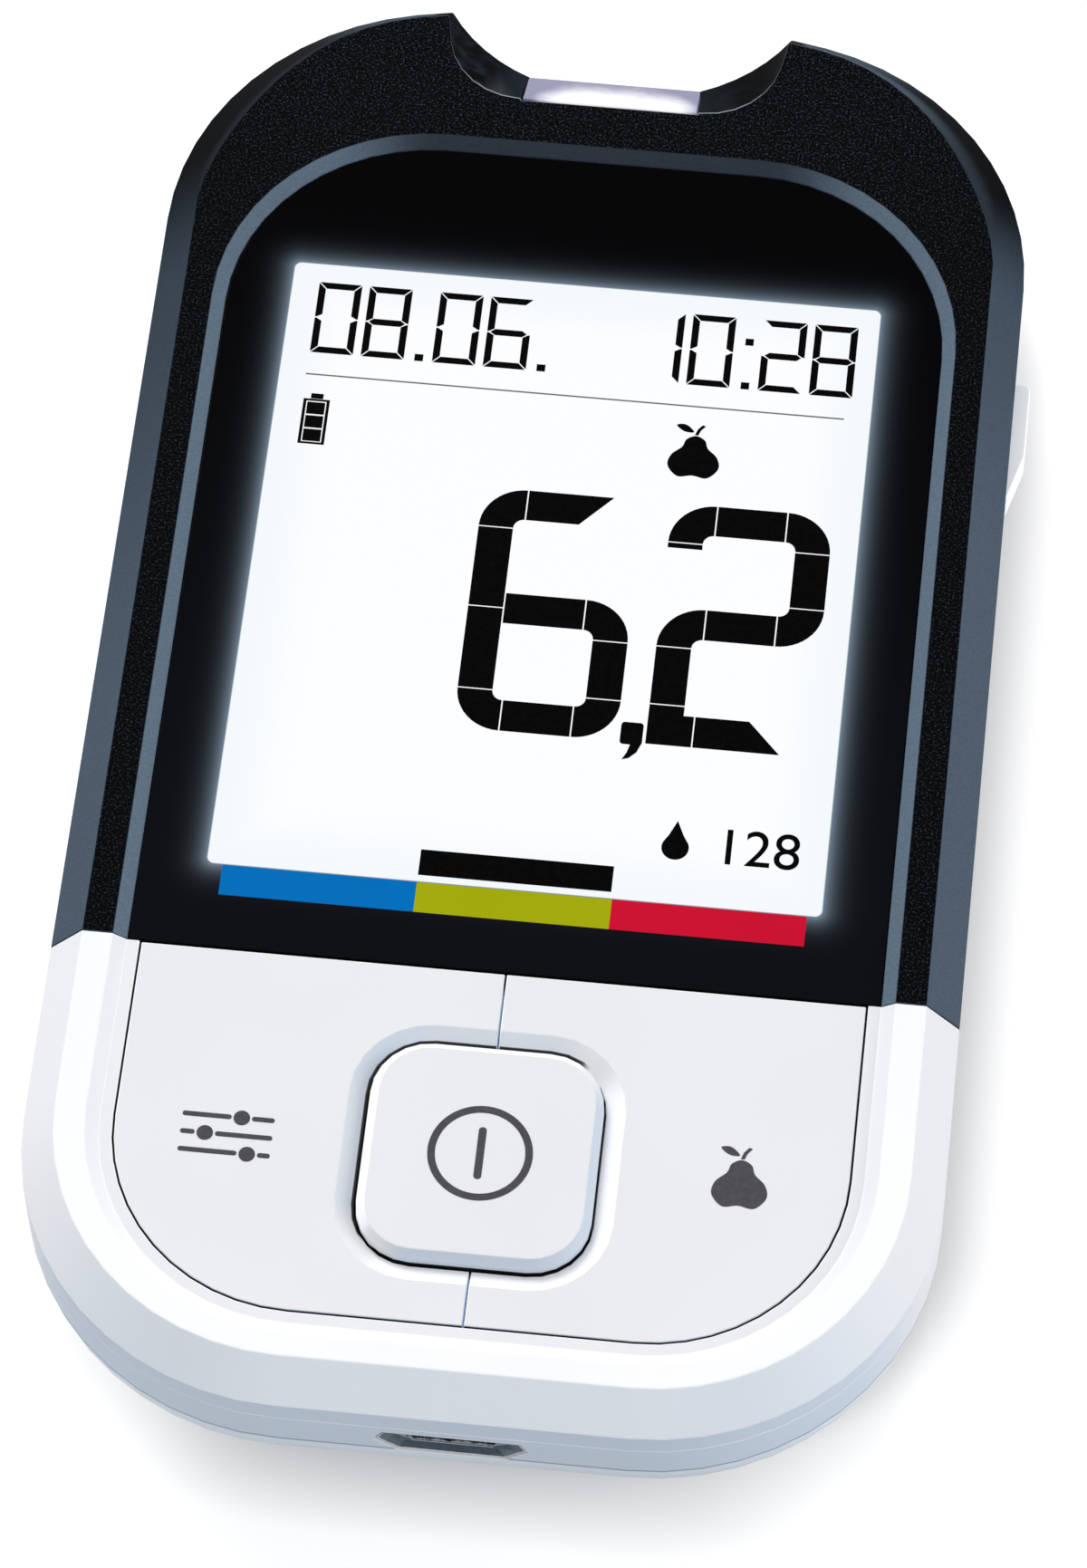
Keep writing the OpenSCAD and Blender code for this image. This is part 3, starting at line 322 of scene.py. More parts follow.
@dataclass(frozen=True)
class DarkHousing(Finish):
    """Near-black moulding: spark-eroded grain on the flat ridge; painted slate sheen, painted
    highlights and painted shade on its slopes.
    """

    ridge: Colour = shade(3, 4, 5)
    fleck: Colour = shade(62, 68, 77)
    # Painted light and shade: the slope and bevel colours stand for the sheen and shade that each
    # slope catches by the way it faces.
    left_slope_sheen: Colour = shade(80, 94, 108)
    right_slope_sheen: Colour = shade(82, 96, 111)
    end_slope: Colour = shade(6, 8, 11)
    side_bevel_sheen: Colour = shade(100, 117, 133)
    end_bevel_shade: Colour = shade(52, 60, 70)
    scoop_dark: Colour = shade(2, 3, 4)
    scoop_sheen: Colour = shade(32, 42, 52)
    scoop_edge_highlight: Colour = shade(150, 158, 166)
    grain: float = 0.14
    depth: float = 0.025
    cloud: float = 1.6
    middle_y: float = 7.0
    ridge_z: float = 20.95
    fleck_rise_y: Range = (30.0, 46.0)
    scoop_x: Range = (12.5, 12.0)
    scoop_y: Range = (41.5, 41.7)
    insert_x: Range = (8.4, 6.2)
    sideways: Range = (0.86, 0.98)
    right_sheen_fades: tuple[Triple, Triple] = ((40.0, 30.0, 0.72), (34.0, 10.0, 0.28))
    left_sheen_fades: tuple[Triple, Triple] = ((37.5, 26.0, 0.5), (30.0, -10.0, 0.5))
    tip_highlight_share: float = 0.6
    left_lip_highlight_share: float = 0.14

    @staticmethod
    def _fade(y: Signal, fades: tuple[Triple, Triple]) -> Signal:
        """Returns the share of the painted slate sheen along the meter, as a sum of two soft steps.
        """
        first, second = (y.ease(start, end) * share for start, end, share in fades)
        return first + second

    def _slope(self, graph: Graph, turn: Signal, facing_z: Signal, y: Signal, z: Signal) -> Signal:
        """Builds the outer slope's painted sheen: a slate reflection on the sides and painted
        highlights along the ridge's lip and at the tip, near-black round the corners where the
        slopes turn away.

        Args:
            graph: The material's graph.
            turn: Way the slope looks in plan, 1 to the right and -1 to the left.
            facing_z: How far it looks up.
            y: Place along the meter.
            z: Height.

        Returns:
            The colour of the slope.
        """
        # Painted sheen: slate on slopes that look to either side, fading along the meter; painted
        # highlights at the tip and along the ridge's lip; near-upright faces keep less of it.
        right = turn.ease(*self.sideways) * self._fade(y, self.right_sheen_fades)
        left = (-turn).ease(*self.sideways) * self._fade(y, self.left_sheen_fades)
        tip = abs(turn).ease(0.66, 0.3) * self.tip_highlight_share
        right_lip_highlight = z.ease(self.ridge_z - 1.5, self.ridge_z - 0.3)
        right_lip_highlight = right_lip_highlight * turn.ease(0.92, 0.55, 0.25, 0.72)
        left_lip_highlight = z.ease(self.ridge_z - 0.8, self.ridge_z - 0.1) * self.left_lip_highlight_share
        lip = graph.math("MULTIPLY_ADD", right_lip_highlight - left_lip_highlight, turn.ease(-0.1, 0.2), left_lip_highlight)
        lit = right.most(left).most(tip).most(lip) * facing_z.ease(0.1, 0.3, 0.3, 1.0)
        slate = graph.mix(turn.ease(-0.5, 0.5), self.left_slope_sheen, self.right_slope_sheen)
        return graph.mix(lit, self.end_slope, slate)

    def _scoop(self, graph: Graph, x: Signal, facing_x: Signal, facing_z: Signal) -> Signal:
        """Builds the mottled scoop with painted light: palest beside the lit insert and on walls
        that look to the right, with a painted highlight along its edge.

        Args:
            graph: The material's graph.
            x: Place across the meter.
            facing_x: How far the surface looks to the right.
            facing_z: How far it looks up.

        Returns:
            The colour of the scoop.
        """
        mottle = graph.noise(self.cloud, 2.0).ease(0.42, 0.75) * 0.7
        # Painted light: paler beside the lit insert and on walls that look to the right.
        beside = abs(x).ease(*self.insert_x) * 0.5
        pale = mottle.most(beside) * facing_x.ease(-0.5, 0.1, 0.15, 1.0)
        walls = graph.mix(pale, self.scoop_dark, self.scoop_sheen)
        # Painted highlight along the scoop's edge.
        edge = facing_z.ease(0.82, 0.9) * facing_z.ease(0.99, 0.955)
        return graph.mix(edge * abs(x).ease(11.0, 8.0, 0.25, 1.0), walls, self.scoop_edge_highlight)

    def paint(self, graph: Graph) -> None:
        """Builds the grain, the painted sheen and shade of the slopes by the way they face, and the
        dark scoop.

        Args:
            graph: The material's empty graph.
        """
        facing_x, facing_y, facing_z = graph.facing()
        x, y, z = graph.spot()
        speckle = graph.noise(self.grain, 3.0)
        level = (facing_x * facing_x + facing_y * facing_y).most(0.0004) ** 0.5
        turn = facing_x / level
        outwards = facing_x * x + facing_y * (y - self.middle_y)
        # Painted light and shade on the inner bevel: lighter on its sides, darker at its ends.
        bevel = graph.mix(abs(turn).ease(0.05, 0.6), self.end_bevel_shade, self.side_bevel_sheen)
        slope = self._slope(graph, turn, facing_z, y, z)
        sloped = graph.mix(outwards.ease(0.5, -0.5), slope, bevel)
        sloped = graph.mix(speckle.ease(0.3, 0.7) * 0.2, sloped, self.ridge)
        # More flecks towards the far end.
        fleck_rise = y.ease(*self.fleck_rise_y, 1.0, 1.5)
        ridge = graph.mix(speckle.ease(0.5, 0.82) * fleck_rise, self.ridge, self.fleck)
        outer = graph.mix(facing_z.ease(0.86, 0.985), sloped, ridge)
        end = abs(x).ease(*self.scoop_x) * y.ease(*self.scoop_y)
        in_scoop = end * (1.0 - facing_z.ease(0.97, 0.995))
        graph.surface(
            Base_Color=graph.mix(in_scoop, outer, self._scoop(graph, x, facing_x, facing_z)),
            Roughness=speckle * 0.1 + 0.68,
            Specular_IOR_Level=0.02,
            Normal=graph.bump(speckle, self.depth, 0.5),
        )


@dataclass(frozen=True)
class LightPlastic(Finish):
    """Whitish moulding with a fine satin texture; the walls of the gaps where pieces meet are
    painted dark as their shadow.
    """

    colour: Colour = shade(243, 244, 247)
    tint: Colour = shade(240, 241, 244)
    # Painted shadow colour for the walls of gaps, and a painted glow, black unless a finish sets
    # one.
    gap: Colour = shade(16, 17, 20)
    through: Colour = BLACK
    grain: float = 0.12
    drift: float = 14.0
    depth: float = 0.008
    roughness: float = 0.42
    wall_turn: Range = (0.3, 0.1)

    def tone(self, graph: Graph, base: Signal) -> Signal:
        """Returns the plastic's tone by place and direction, with painted light and shade, from its
        moulded colour.
        """
        raise NotImplementedError

    def light(self, graph: Graph) -> Signal | Colour:
        """Returns the painted glow that lightens the plastic."""
        return self.through

    def paint(self, graph: Graph) -> None:
        """Builds the texture and the slight drift of the moulded colour.

        Args:
            graph: The material's empty graph.
        """
        fine = graph.noise(self.grain, 2.0)
        drift = graph.noise(self.drift, 1.0)
        graph.surface(
            Base_Color=self.tone(graph, graph.mix(drift.ease(0.35, 0.7), self.colour, self.tint)),
            Roughness=fine * 0.12 + self.roughness,
            Specular_IOR_Level=0.35,
            Emission_Color=self.light(graph),
            Emission_Strength=1.0,
            Normal=graph.bump(fine, self.depth, 0.35),
        )


@dataclass(frozen=True)
class LightHousing(LightPlastic):
    """Light covers: white ridge, paler margin round the keys, painted shade on the slopes by the
    way they face and cool at the near end, a painted shade line at the seam with painted bounce
    light below it, and painted shadow on the opening's walls.
    """

    margin: Colour = shade(228, 228, 230)
    # Painted shade: these colours stand for the light that each slope catches by the way it faces,
    # greyest on the near corner and on upright faces low down.
    side: Colour = shade(236, 236, 239)
    right_side_shade: Colour = shade(231, 232, 235)
    near: Colour = shade(238, 244, 250)
    corner: Colour = shade(224, 231, 239)
    skirt_shade: Colour = shade(205, 218, 232)
    seam: Colour = shade(134, 149, 166)
    rim: Colour = shade(226, 236, 247)
    side_turn: Range = (0.25, 0.6)
    near_turn: Range = (0.2, 0.7)
    corner_turn: Range = (0.8, 1.1)
    skirt_turn: Range = (0.4, 0.12)
    ridge_z: float = 20.7
    margin_z: Range = (18.0, 19.0)
    seam_z: float = 13.85
    seam_line: Range = (0.12, 0.04)
    opening_top: Range = (20.34, 20.28)
    opening_foot: Range = (16.0, 17.0)
    middle_y: float = -34.0

    def tone(self, graph: Graph, base: Signal) -> Signal:
        """Builds the margin, the painted shade of the slopes by the way they face, the painted
        shade line at the seam and the painted shadow on the opening's wall.

        Args:
            graph: The material's graph.
            base: The moulded colour with its slight drift.

        Returns:
            The colour of the surface.
        """
        facing_x, facing_y, facing_z = graph.facing()
        x, y, z = graph.spot()
        # Painted shade by the way the slopes face: greyer to the sides, cool towards the near end,
        # darkest on the near corner and on upright faces.
        slope = graph.mix((-facing_x).ease(*self.side_turn), base, self.side)
        slope = graph.mix(facing_x.ease(*self.side_turn), slope, self.right_side_shade)
        cool = graph.mix((facing_x - facing_y).ease(*self.corner_turn), self.near, self.corner)
        # Painted light: below the seam the rim is paler, as if lit from the floor.
        skirt_shade = graph.mix(z.ease(self.seam_z + 0.05, self.seam_z - 0.05), self.skirt_shade, self.rim)
        cool = graph.mix(facing_z.ease(*self.skirt_turn), cool, skirt_shade)
        slope = graph.mix((-facing_y).ease(*self.near_turn), slope, cool)
        level = facing_z.ease(0.97, 0.99) * z.ease(self.ridge_z, self.ridge_z - 0.15)
        slope = graph.mix(level * z.ease(*self.margin_z), slope, self.margin)
        # Painted shade: a dark line at the seam stands for the crease's shadow.
        line = abs(z - self.seam_z).ease(*self.seam_line) * abs(facing_z).ease(0.6, 0.3)
        slope = graph.mix(line, slope, self.seam)
        # Painted shadow: walls facing into the key opening are painted dark.
        inwards = (facing_x * x + facing_y * (y - self.middle_y)).ease(-1.0, -2.0)
        wall = inwards * abs(facing_z).ease(*self.wall_turn)
        wall = wall * z.ease(*self.opening_top) * z.ease(*self.opening_foot)
        return graph.mix(wall, slope, self.gap)


@dataclass(frozen=True)
class KeyPlastic(LightPlastic):
    """Keys: painted light on slopes that face to the left and away, painted cool grey shade on
    slopes that face to the right and the near end.
    """

    colour: Colour = shade(227, 227, 229)
    tint: Colour = shade(224, 225, 227)
    # Painted light and shade for the slopes by the way they face.
    bright: Colour = shade(253, 253, 254)
    dim: Colour = shade(197, 207, 219)
    # Painted light in the middle split: pale walls and a glow, so that the deep gap looks lit.
    split: Colour = shade(226, 237, 249)
    through: Colour = (0.045, 0.058, 0.073, 1.0)
    grain: float = 0.1
    depth: float = 0.006
    roughness: float = 0.4
    dim_lean: Range = (0.05, 0.8)
    bright_lean: Range = (-0.03, -0.35)
    lip_shadow_lean: Range = (0.05, 0.2)
    lip_shadow_z: float = 19.87
    gap_z: float = 20.3
    split_x: Range = (1.0, 0.6)
    split_y: Range = (-22.4, -22.8)

    def tone(self, graph: Graph, base: Signal) -> Signal:
        """Builds the painted light and shade on the slopes, the painted shadow on the moat's lip
        and on the walls of the gaps.

        Args:
            graph: The material's graph.
            base: The moulded colour with its slight drift.

        Returns:
            The colour of the surface.
        """
        facing_x, facing_y, facing_z = graph.facing()
        _, _, z = graph.spot()
        lean = facing_x - facing_y
        # Painted shade and light on the slopes by the way they face.
        slope = graph.mix(lean.ease(*self.dim_lean), base, self.dim)
        slope = graph.mix(lean.ease(*self.bright_lean), slope, self.bright)
        # Painted shadow: a dark line on the moat's lip where the gap's shade falls, and dark walls
        # in the gaps.
        low = (z + facing_y * 0.15).ease(self.lip_shadow_z + 0.02, self.lip_shadow_z - 0.02)
        lip = lean.ease(*self.lip_shadow_lean) * low
        wall = abs(facing_z).ease(*self.wall_turn) * z.ease(self.gap_z, self.gap_z - 0.06)
        inside = graph.mix(self._middle(graph), self.gap, self.split)
        return graph.mix(wall.most(lip), slope, inside)

    def _middle(self, graph: Graph) -> Signal:
        """Builds the share of the two walls of the split on the middle line.

        Args:
            graph: The material's graph.

        Returns:
            1 on these walls, 0 elsewhere.
        """
        x, y, _ = graph.spot()
        facing_x, _, _ = graph.facing()
        return abs(facing_x).ease(0.8, 0.9) * abs(x).ease(*self.split_x) * y.ease(*self.split_y)

    def light(self, graph: Graph) -> Signal:
        """Returns the painted glow in the middle split, which lightens its walls."""
        return graph.mix(self._middle(graph), BLACK, self.through)


@dataclass(frozen=True)
class LitLens(Finish):
    """Black gloss lens whose window is lit from behind, with a soft glow round it."""

    half: Range = (19.0, 22.35)
    corner: float = 0.45
    centre_y: float = 6.45
    soft: float = 0.05
    top_z: Range = (20.2, 20.3)
    glow_reach: float = 0.47
    glow: Colour = (0.17, 0.225, 0.29, 1.0)
    black: Colour = shade(2, 2, 3)
    near_black: Colour = shade(12, 13, 17)
    black_y: Range = (-21.0, 36.0)
    middle_white: Colour = (0.975, 0.982, 1.0, 1.0)
    edge_white: Colour = (0.9, 0.94, 0.975, 1.0)
    edge_reach: float = 5.0

    def paint(self, graph: Graph) -> None:
        """Builds the window by its distance from a rounded rectangle.

        Args:
            graph: The material's empty graph.
        """
        x, y, z = graph.spot()
        away = outside(x, y - self.centre_y, self.half, self.corner)
        window = away.ease(self.soft, -self.soft)
        halo = graph.math("EXPONENT", away.most(0.0) / -self.glow_reach) * (1.0 - window)
        white = graph.mix(away.ease(-self.edge_reach, 0.0), self.middle_white, self.edge_white)
        light = graph.mix(window, graph.mix(halo, BLACK, self.glow), white)
        graph.surface(
            Base_Color=graph.mix(y.ease(*self.black_y), self.near_black, self.black),
            Roughness=graph.noise(9.0, 1.0) * 0.03 + 0.16,
            Specular_IOR_Level=0.03,
            Emission_Color=graph.mix(z.ease(*self.top_z), BLACK, light),
            Emission_Strength=1.0,
        )


@dataclass(frozen=True)
class Ink(Finish):
    """Printed ink or a switched liquid crystal segment: flat, with a faint mottle."""

    colour: Colour = shade(2, 2, 3)
    mottle: Colour = shade(5, 5, 6)
    grain: float = 0.4
    roughness: float = 0.5

    def paint(self, graph: Graph) -> None:
        """Builds the mottled ink.

        Args:
            graph: The material's empty graph.
        """
        patch = graph.noise(self.grain, 2.0)
        graph.surface(
            Base_Color=graph.mix(patch.ease(0.4, 0.7), self.colour, self.mottle),
            Roughness=patch * 0.1 + self.roughness,
            Specular_IOR_Level=0.02,
        )


@dataclass(frozen=True)
class LitStripe(Finish):
    """Coloured field of the range scale, lit from behind like the window."""

    colour: Colour = shade(0, 112, 190)
    dim_share: float = 0.94
    grain: float = 5.0

    def paint(self, graph: Graph) -> None:
        """Builds the field with a barely uneven light.

        Args:
            graph: The material's empty graph.
        """
        patch = graph.noise(self.grain, 1.0)
        dim = tuple(part * self.dim_share for part in self.colour[:3]) + (1.0,)
        graph.surface(
            Base_Color=shade(2, 2, 3),
            Roughness=patch * 0.04 + 0.3,
            Specular_IOR_Level=0.02,
            Emission_Color=graph.mix(patch, self.colour, dim),
            Emission_Strength=1.0,
        )


@dataclass(frozen=True)
class LitPort(Finish):
    """Milky insert lit from inside: white over the slot and lilac towards its outer edge."""

    colour: Colour = shade(124, 123, 131)
    core: Colour = (0.78, 0.79, 0.8, 1.0)
    rim: Colour = (0.07, 0.07, 0.17, 1.0)
    half_width: float = 5.7
    centre_x: float = 0.45
    depth_y: Range = (42.9, 46.5)
    cloud: float = 1.8

    def paint(self, graph: Graph) -> None:
        """Builds the light's fall-off from the inner edge of the insert.

        Args:
            graph: The material's empty graph.
        """
        x, y, _ = graph.spot()
        across = (abs(x - self.centre_x) / self.half_width) ** 4.0
        milk = graph.noise(self.cloud, 2.0)
        fade = across * 1.05 + y.ease(*self.depth_y) * 0.95 + (milk - 0.5) * 0.4
        graph.surface(
            Base_Color=self.colour,
            Roughness=milk * 0.1 + 0.45,
            Specular_IOR_Level=0.1,
            Emission_Color=graph.mix(fade.ease(0.12, 1.05), self.core, self.rim),
            Emission_Strength=1.0,
        )


@dataclass(frozen=True)
class SocketSteel(Finish):
    """Plated steel of the socket, with painted light and shade: a paler rim, partly plating and
    partly painted highlight, painted shade on the flare inside it, and a bore painted light at the
    mouth and shaded deeper in.
    """

    rim: Colour = shade(236, 240, 245)
    flare: Colour = shade(78, 92, 106)
    bore: Colour = shade(250, 251, 253)
    dark: Colour = shade(10, 11, 13)
    grain: float = 0.35
    depth: float = 0.01
    dark_y: Range = (-50.36, -50.22)
    rim_turn: Range = (-0.965, -0.99)
    bore_turn: Range = (-0.3, -0.12)

    def paint(self, graph: Graph) -> None:
        """Builds painted highlight and shade by the way the faces look, and the bore's painted
        light and shadow by its depth.

        Args:
            graph: The material's empty graph.
        """
        _, facing_y, _ = graph.facing()
        _, y, _ = graph.spot()
        wear = graph.noise(self.grain, 3.0)
        # Painted light and shadow in the bore: a pale band near the mouth, dark deeper in.
        bore = graph.mix((y + (wear - 0.5) * 0.5).ease(*self.dark_y), self.bore, self.dark)
        # Painted shade on the flare and painted highlight on the rim, by the way the faces look.
        inside = graph.mix(facing_y.ease(*self.bore_turn), self.flare, bore)
        tone = graph.mix(facing_y.ease(*self.rim_turn), inside, self.rim)
        graph.surface(
            Base_Color=graph.mix(wear.ease(0.4, 0.7) * 0.3, tone, self.dark),
            Roughness=wear * 0.2 + 0.35,
            Metallic=0.25,
            Specular_IOR_Level=0.5,
            Normal=graph.bump(wear, self.depth, 0.5),
        )


class Texture(Enum):
    """Patterns that a plain material can carry."""

    GRAIN = "grain"
    BRUSHED = "brushed"
    TRACKS = "tracks"
    BANDS = "bands"
    CELL_LABEL = "cell label"


@dataclass(frozen=True)
class Plain(Finish):
    """A plain material: two tones of one colour, a pattern, and its roughness."""

    colour: Colour = shade(120, 120, 120)
    second: Colour = shade(110, 110, 110)
    texture: Texture = Texture.GRAIN
    grain: float = 0.2
    depth: float = 0.01
    roughness: float = 0.45
    metallic: float = 0.0
    specular: float = 0.4
    glow: float = 0.0
    label_y: Range = (5.0, 5.3)

    def _pattern(self, graph: Graph) -> Signal:
        """Builds the pattern.

        Args:
            graph: The material's graph.

        Returns:
            The pattern as a signal from 0 to 1.
        """
        x, y, _ = graph.spot()
        if self.texture is Texture.BRUSHED:
            return graph.noise(self.grain, 3.0, (1.0, 0.06, 1.0)).ease(0.25, 0.75)
        if self.texture is Texture.TRACKS:
            wander = graph.noise(3.0, 1.0) * 5.0
            lane = graph.math("PINGPONG", x + wander, 0.5)
            gate = graph.math("PINGPONG", y + wander, 1.5)
            return lane.ease(0.28, 0.34) * gate.ease(0.2, 0.3)
        if self.texture is Texture.BANDS:
            band = graph.math("PINGPONG", x, self.grain)
            return band.ease(self.grain * 0.35, self.grain * 0.65)
        if self.texture is Texture.CELL_LABEL:
            return y.ease(*self.label_y) + (graph.noise(self.grain, 1.0) - 0.5) * 0.1
        return graph.noise(self.grain, 2.0).ease(0.3, 0.7)

    def paint(self, graph: Graph) -> None:
        """Builds the two tones, the relief and the roughness from the pattern.

        Args:
            graph: The material's empty graph.
        """
        pattern = self._pattern(graph)
        tone = graph.mix(pattern, self.colour, self.second)
        sockets = {
            "Base_Color": tone,
            "Roughness": pattern * 0.1 + self.roughness,
            "Metallic": self.metallic,
            "Specular_IOR_Level": self.specular,
            "Normal": graph.bump(pattern, self.depth, 0.5),
        }
        if self.glow:
            sockets |= {"Emission_Color": tone, "Emission_Strength": self.glow}
        graph.surface(**sockets)


def plain(
    name: str, first: Triple, second: Triple, *rest: Texture | float, **more: float
) -> Plain:
    """Makes a plain material from two display colours.

    Args:
        name: Name of the material.
        first: Its colour, 0 to 255.
        second: Its second colour, 0 to 255.
        rest: Pattern, grain, depth, roughness and metallic share, in this order.
        more: Other values of the material, by name.

    Returns:
        The material.
    """
    return Plain(name, shade(*first), shade(*second), *rest, **more)


SPRING_STEEL = plain(
    "spring_steel", (188, 190, 194), (160, 163, 168), Texture.BRUSHED, 0.12, 0.01, 0.3, 1.0
)


# ---- Bench: making and finishing pieces ----


def pick(piece: Piece) -> None:
    """Deselects everything and makes one piece selected and active.

    Args:
        piece: The piece to select.
    """
    bpy.ops.object.select_all(action="DESELECT")
    piece.select_set(True)
    bpy.context.view_layer.objects.active = piece


def settle(piece: Piece) -> Piece:
    """Puts a piece's place, turn and scale into its mesh.

    Args:
        piece: The piece.

    Returns:
        The same piece.
    """
    pick(piece)
    bpy.ops.object.transform_apply(location=True, rotation=True, scale=True)
    return piece


def round_edges(piece: Piece, width: float, angle: float = 30.0, curve: float = 50.0) -> None:
    """Rounds a piece's sharp edges and smooths its curved faces.

    Args:
        piece: The mesh object.
        width: Width of the rounding in millimetres.
        angle: Smallest angle between faces that is rounded, in degrees.
        curve: Largest angle between faces that is smoothed, in degrees.
    """
    pick(piece)
    if width > 0:
        rounding = piece.modifiers.new("rounding", "BEVEL")
        rounding.width = width * MM
        rounding.segments = 2
        rounding.limit_method = "ANGLE"
        rounding.angle_limit = math.radians(angle)
        rounding.use_clamp_overlap = False
        bpy.ops.object.modifier_apply(modifier=rounding.name)
    bpy.ops.object.shade_smooth_by_angle(angle=math.radians(curve))
    weights = piece.modifiers.new("flat_faces_stay_flat", "WEIGHTED_NORMAL")
    weights.keep_sharp = True
    weights.weight = 100
    bpy.ops.object.modifier_apply(modifier=weights.name)


def refined(
    node: str,
    name: str,
    edge: float,
    angle: float = 30.0,
    curve: float = 50.0,
    reshape: Callable[[Piece], None] | None = None,
) -> Piece:
    """Makes a finer copy of a solid: joined faces, rounded edges, smooth curves.

    Args:
        node: Name of the solid in the frame.
        name: Name of the new piece.
        edge: Width of the rounding on its edges in millimetres.
        angle: Smallest angle between faces that is rounded, in degrees.
        curve: Largest angle between faces that is smoothed, in degrees.
        reshape: Step in edit mode that changes the joined mesh before its flat faces are merged.

    Returns:
        The new piece, in place.
    """
    piece = bpy.data.objects.new(name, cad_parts[node].data.copy())
    bpy.context.scene.collection.objects.link(piece)
    pick(piece)
    bpy.ops.mesh.customdata_custom_splitnormals_clear()
    bpy.ops.object.mode_set(mode="EDIT")
    bpy.ops.mesh.select_all(action="SELECT")
    bpy.ops.mesh.remove_doubles(threshold=0.002 * MM)
    if reshape is not None:
        reshape(piece)
    bpy.ops.mesh.select_all(action="SELECT")
    bpy.ops.mesh.dissolve_limited(angle_limit=math.radians(0.4))
    bpy.ops.object.mode_set(mode="OBJECT")
    round_edges(piece, edge, angle, curve)
    return piece


def select_where(piece: Piece, test: Callable[[Vector, Vector], bool], faces: bool) -> None:
    """Selects faces or points of the piece in edit mode by their place and direction.

    Args:
        piece: The mesh object, in edit mode.
        test: Takes a place in millimetres and a direction, and tells whether it is wanted.
        faces: True for faces, False for points.
    """
    bpy.ops.mesh.select_mode(type="FACE" if faces else "VERT")
    bpy.ops.mesh.select_all(action="DESELECT")
    bpy.ops.object.mode_set(mode="OBJECT")
    for part in piece.data.polygons if faces else piece.data.vertices:
        part.select = test((part.center if faces else part.co) / MM, part.normal)
    bpy.ops.object.mode_set(mode="EDIT")


def fit(piece: Piece, body: str, finish: Finish, slot: str, *nodes: str) -> None:
    """Gives a piece its body and finish, and hides the solids that it stands for.

    Args:
        piece: The finished mesh object.
        body: Name of the moving body that carries it.
        finish: Its finish.
        slot: Name of the record's material slot; not used.
        nodes: Solids that it replaces.
    """
    finish.dress(piece)
    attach(piece, body)
    if nodes:
        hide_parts(*nodes)
    log.info("%s: %d faces on %s", piece.name, len(piece.data.polygons), body)


def flat_piece(name: str, loops: list[Loop], base: float, height: float) -> Piece:
    """Makes a thin flat piece from closed outlines; an outline inside another is a hole.

    Args:
        name: Name of the piece.
        loops: Outlines in millimetres.
        base: Height of its underside in millimetres.
        height: Its thickness in millimetres.

    Returns:
        The new piece, in place.
    """
    curve = bpy.data.curves.new(name, "CURVE")
    curve.dimensions = "2D"
    curve.fill_mode = "BOTH"
    curve.extrude = height * MM / 2
    for loop in loops:
        spline = curve.splines.new("POLY")
        spline.points.add(len(loop) - 1)
        for point, (x, y) in zip(spline.points, loop):
            point.co = (x * MM, y * MM, 0, 1)
        spline.use_cyclic_u = True
    piece = bpy.data.objects.new(name, curve)
    bpy.context.scene.collection.objects.link(piece)
    pick(piece)
    bpy.ops.object.convert(target="MESH")
    piece = bpy.context.object
    piece.location.z = (base + height / 2) * MM
    return settle(piece)


def engrave(piece: Piece, name: str, loop: Loop, low: float, depth: float) -> None:
    """Sinks an outline into the underside of a piece.

    Args:
        piece: The mesh object.
        name: Name of the cutter, which is deleted afterwards.
        loop: The outline in millimetres.
        low: Height of the underside in millimetres.
        depth: Depth of the recess in millimetres.
    """
    start = 0.5
    cutter = flat_piece(name, [loop], low - start, depth + start)
    pick(piece)
    cut = piece.modifiers.new("cut", "BOOLEAN")
    cut.operation = "DIFFERENCE"
    cut.solver = "EXACT"
    cut.object = cutter
    bpy.ops.object.modifier_apply(modifier=cut.name)
    pick(cutter)
    bpy.ops.object.delete()


# ---- Outlines ----


def arc(centre: Point, radius: float, start: float, end: float, steps: int = 10) -> Loop:
    """Returns points on an arc.

    Args:
        centre: Centre of the arc.
        radius: Its radius.
        start: First angle in degrees.
        end: Last angle in degrees.
        steps: Number of chords.

    Returns:
        The points, both ends included.
    """
    turns = [math.radians(start + (end - start) * i / steps) for i in range(steps + 1)]
    x, y = centre
    return [(x + radius * math.cos(turn), y + radius * math.sin(turn)) for turn in turns]


def circle(centre: Point, radius: float, steps: int) -> Loop:
    """Returns a closed circle."""
    return arc(centre, radius, 0, 360, steps)[:-1]


def rectangle(x0: float, x1: float, y0: float, y1: float) -> Loop:
    """Returns a closed rectangle."""
    return [(x0, y0), (x1, y0), (x1, y1), (x0, y1)]


def rounded(x0: float, x1: float, y0: float, y1: float, radius: float, steps: int) -> Loop:
    """Builds a closed rectangle with rounded corners.

    Args:
        x0: Left edge.
        x1: Right edge.
        y0: Lower edge.
        y1: Upper edge.
        radius: Radius of its corners.
        steps: Number of chords in each corner.

    Returns:
        The outline, from the right edge up.
    """
    loop = []
    corners = rectangle(x0 + radius, x1 - radius, y0 + radius, y1 - radius)
    for start, corner in zip((0, 90, 180, 270), (corners[2], corners[3], corners[0], corners[1])):
        loop += arc(corner, radius, start, start + 90, steps)
    return loop


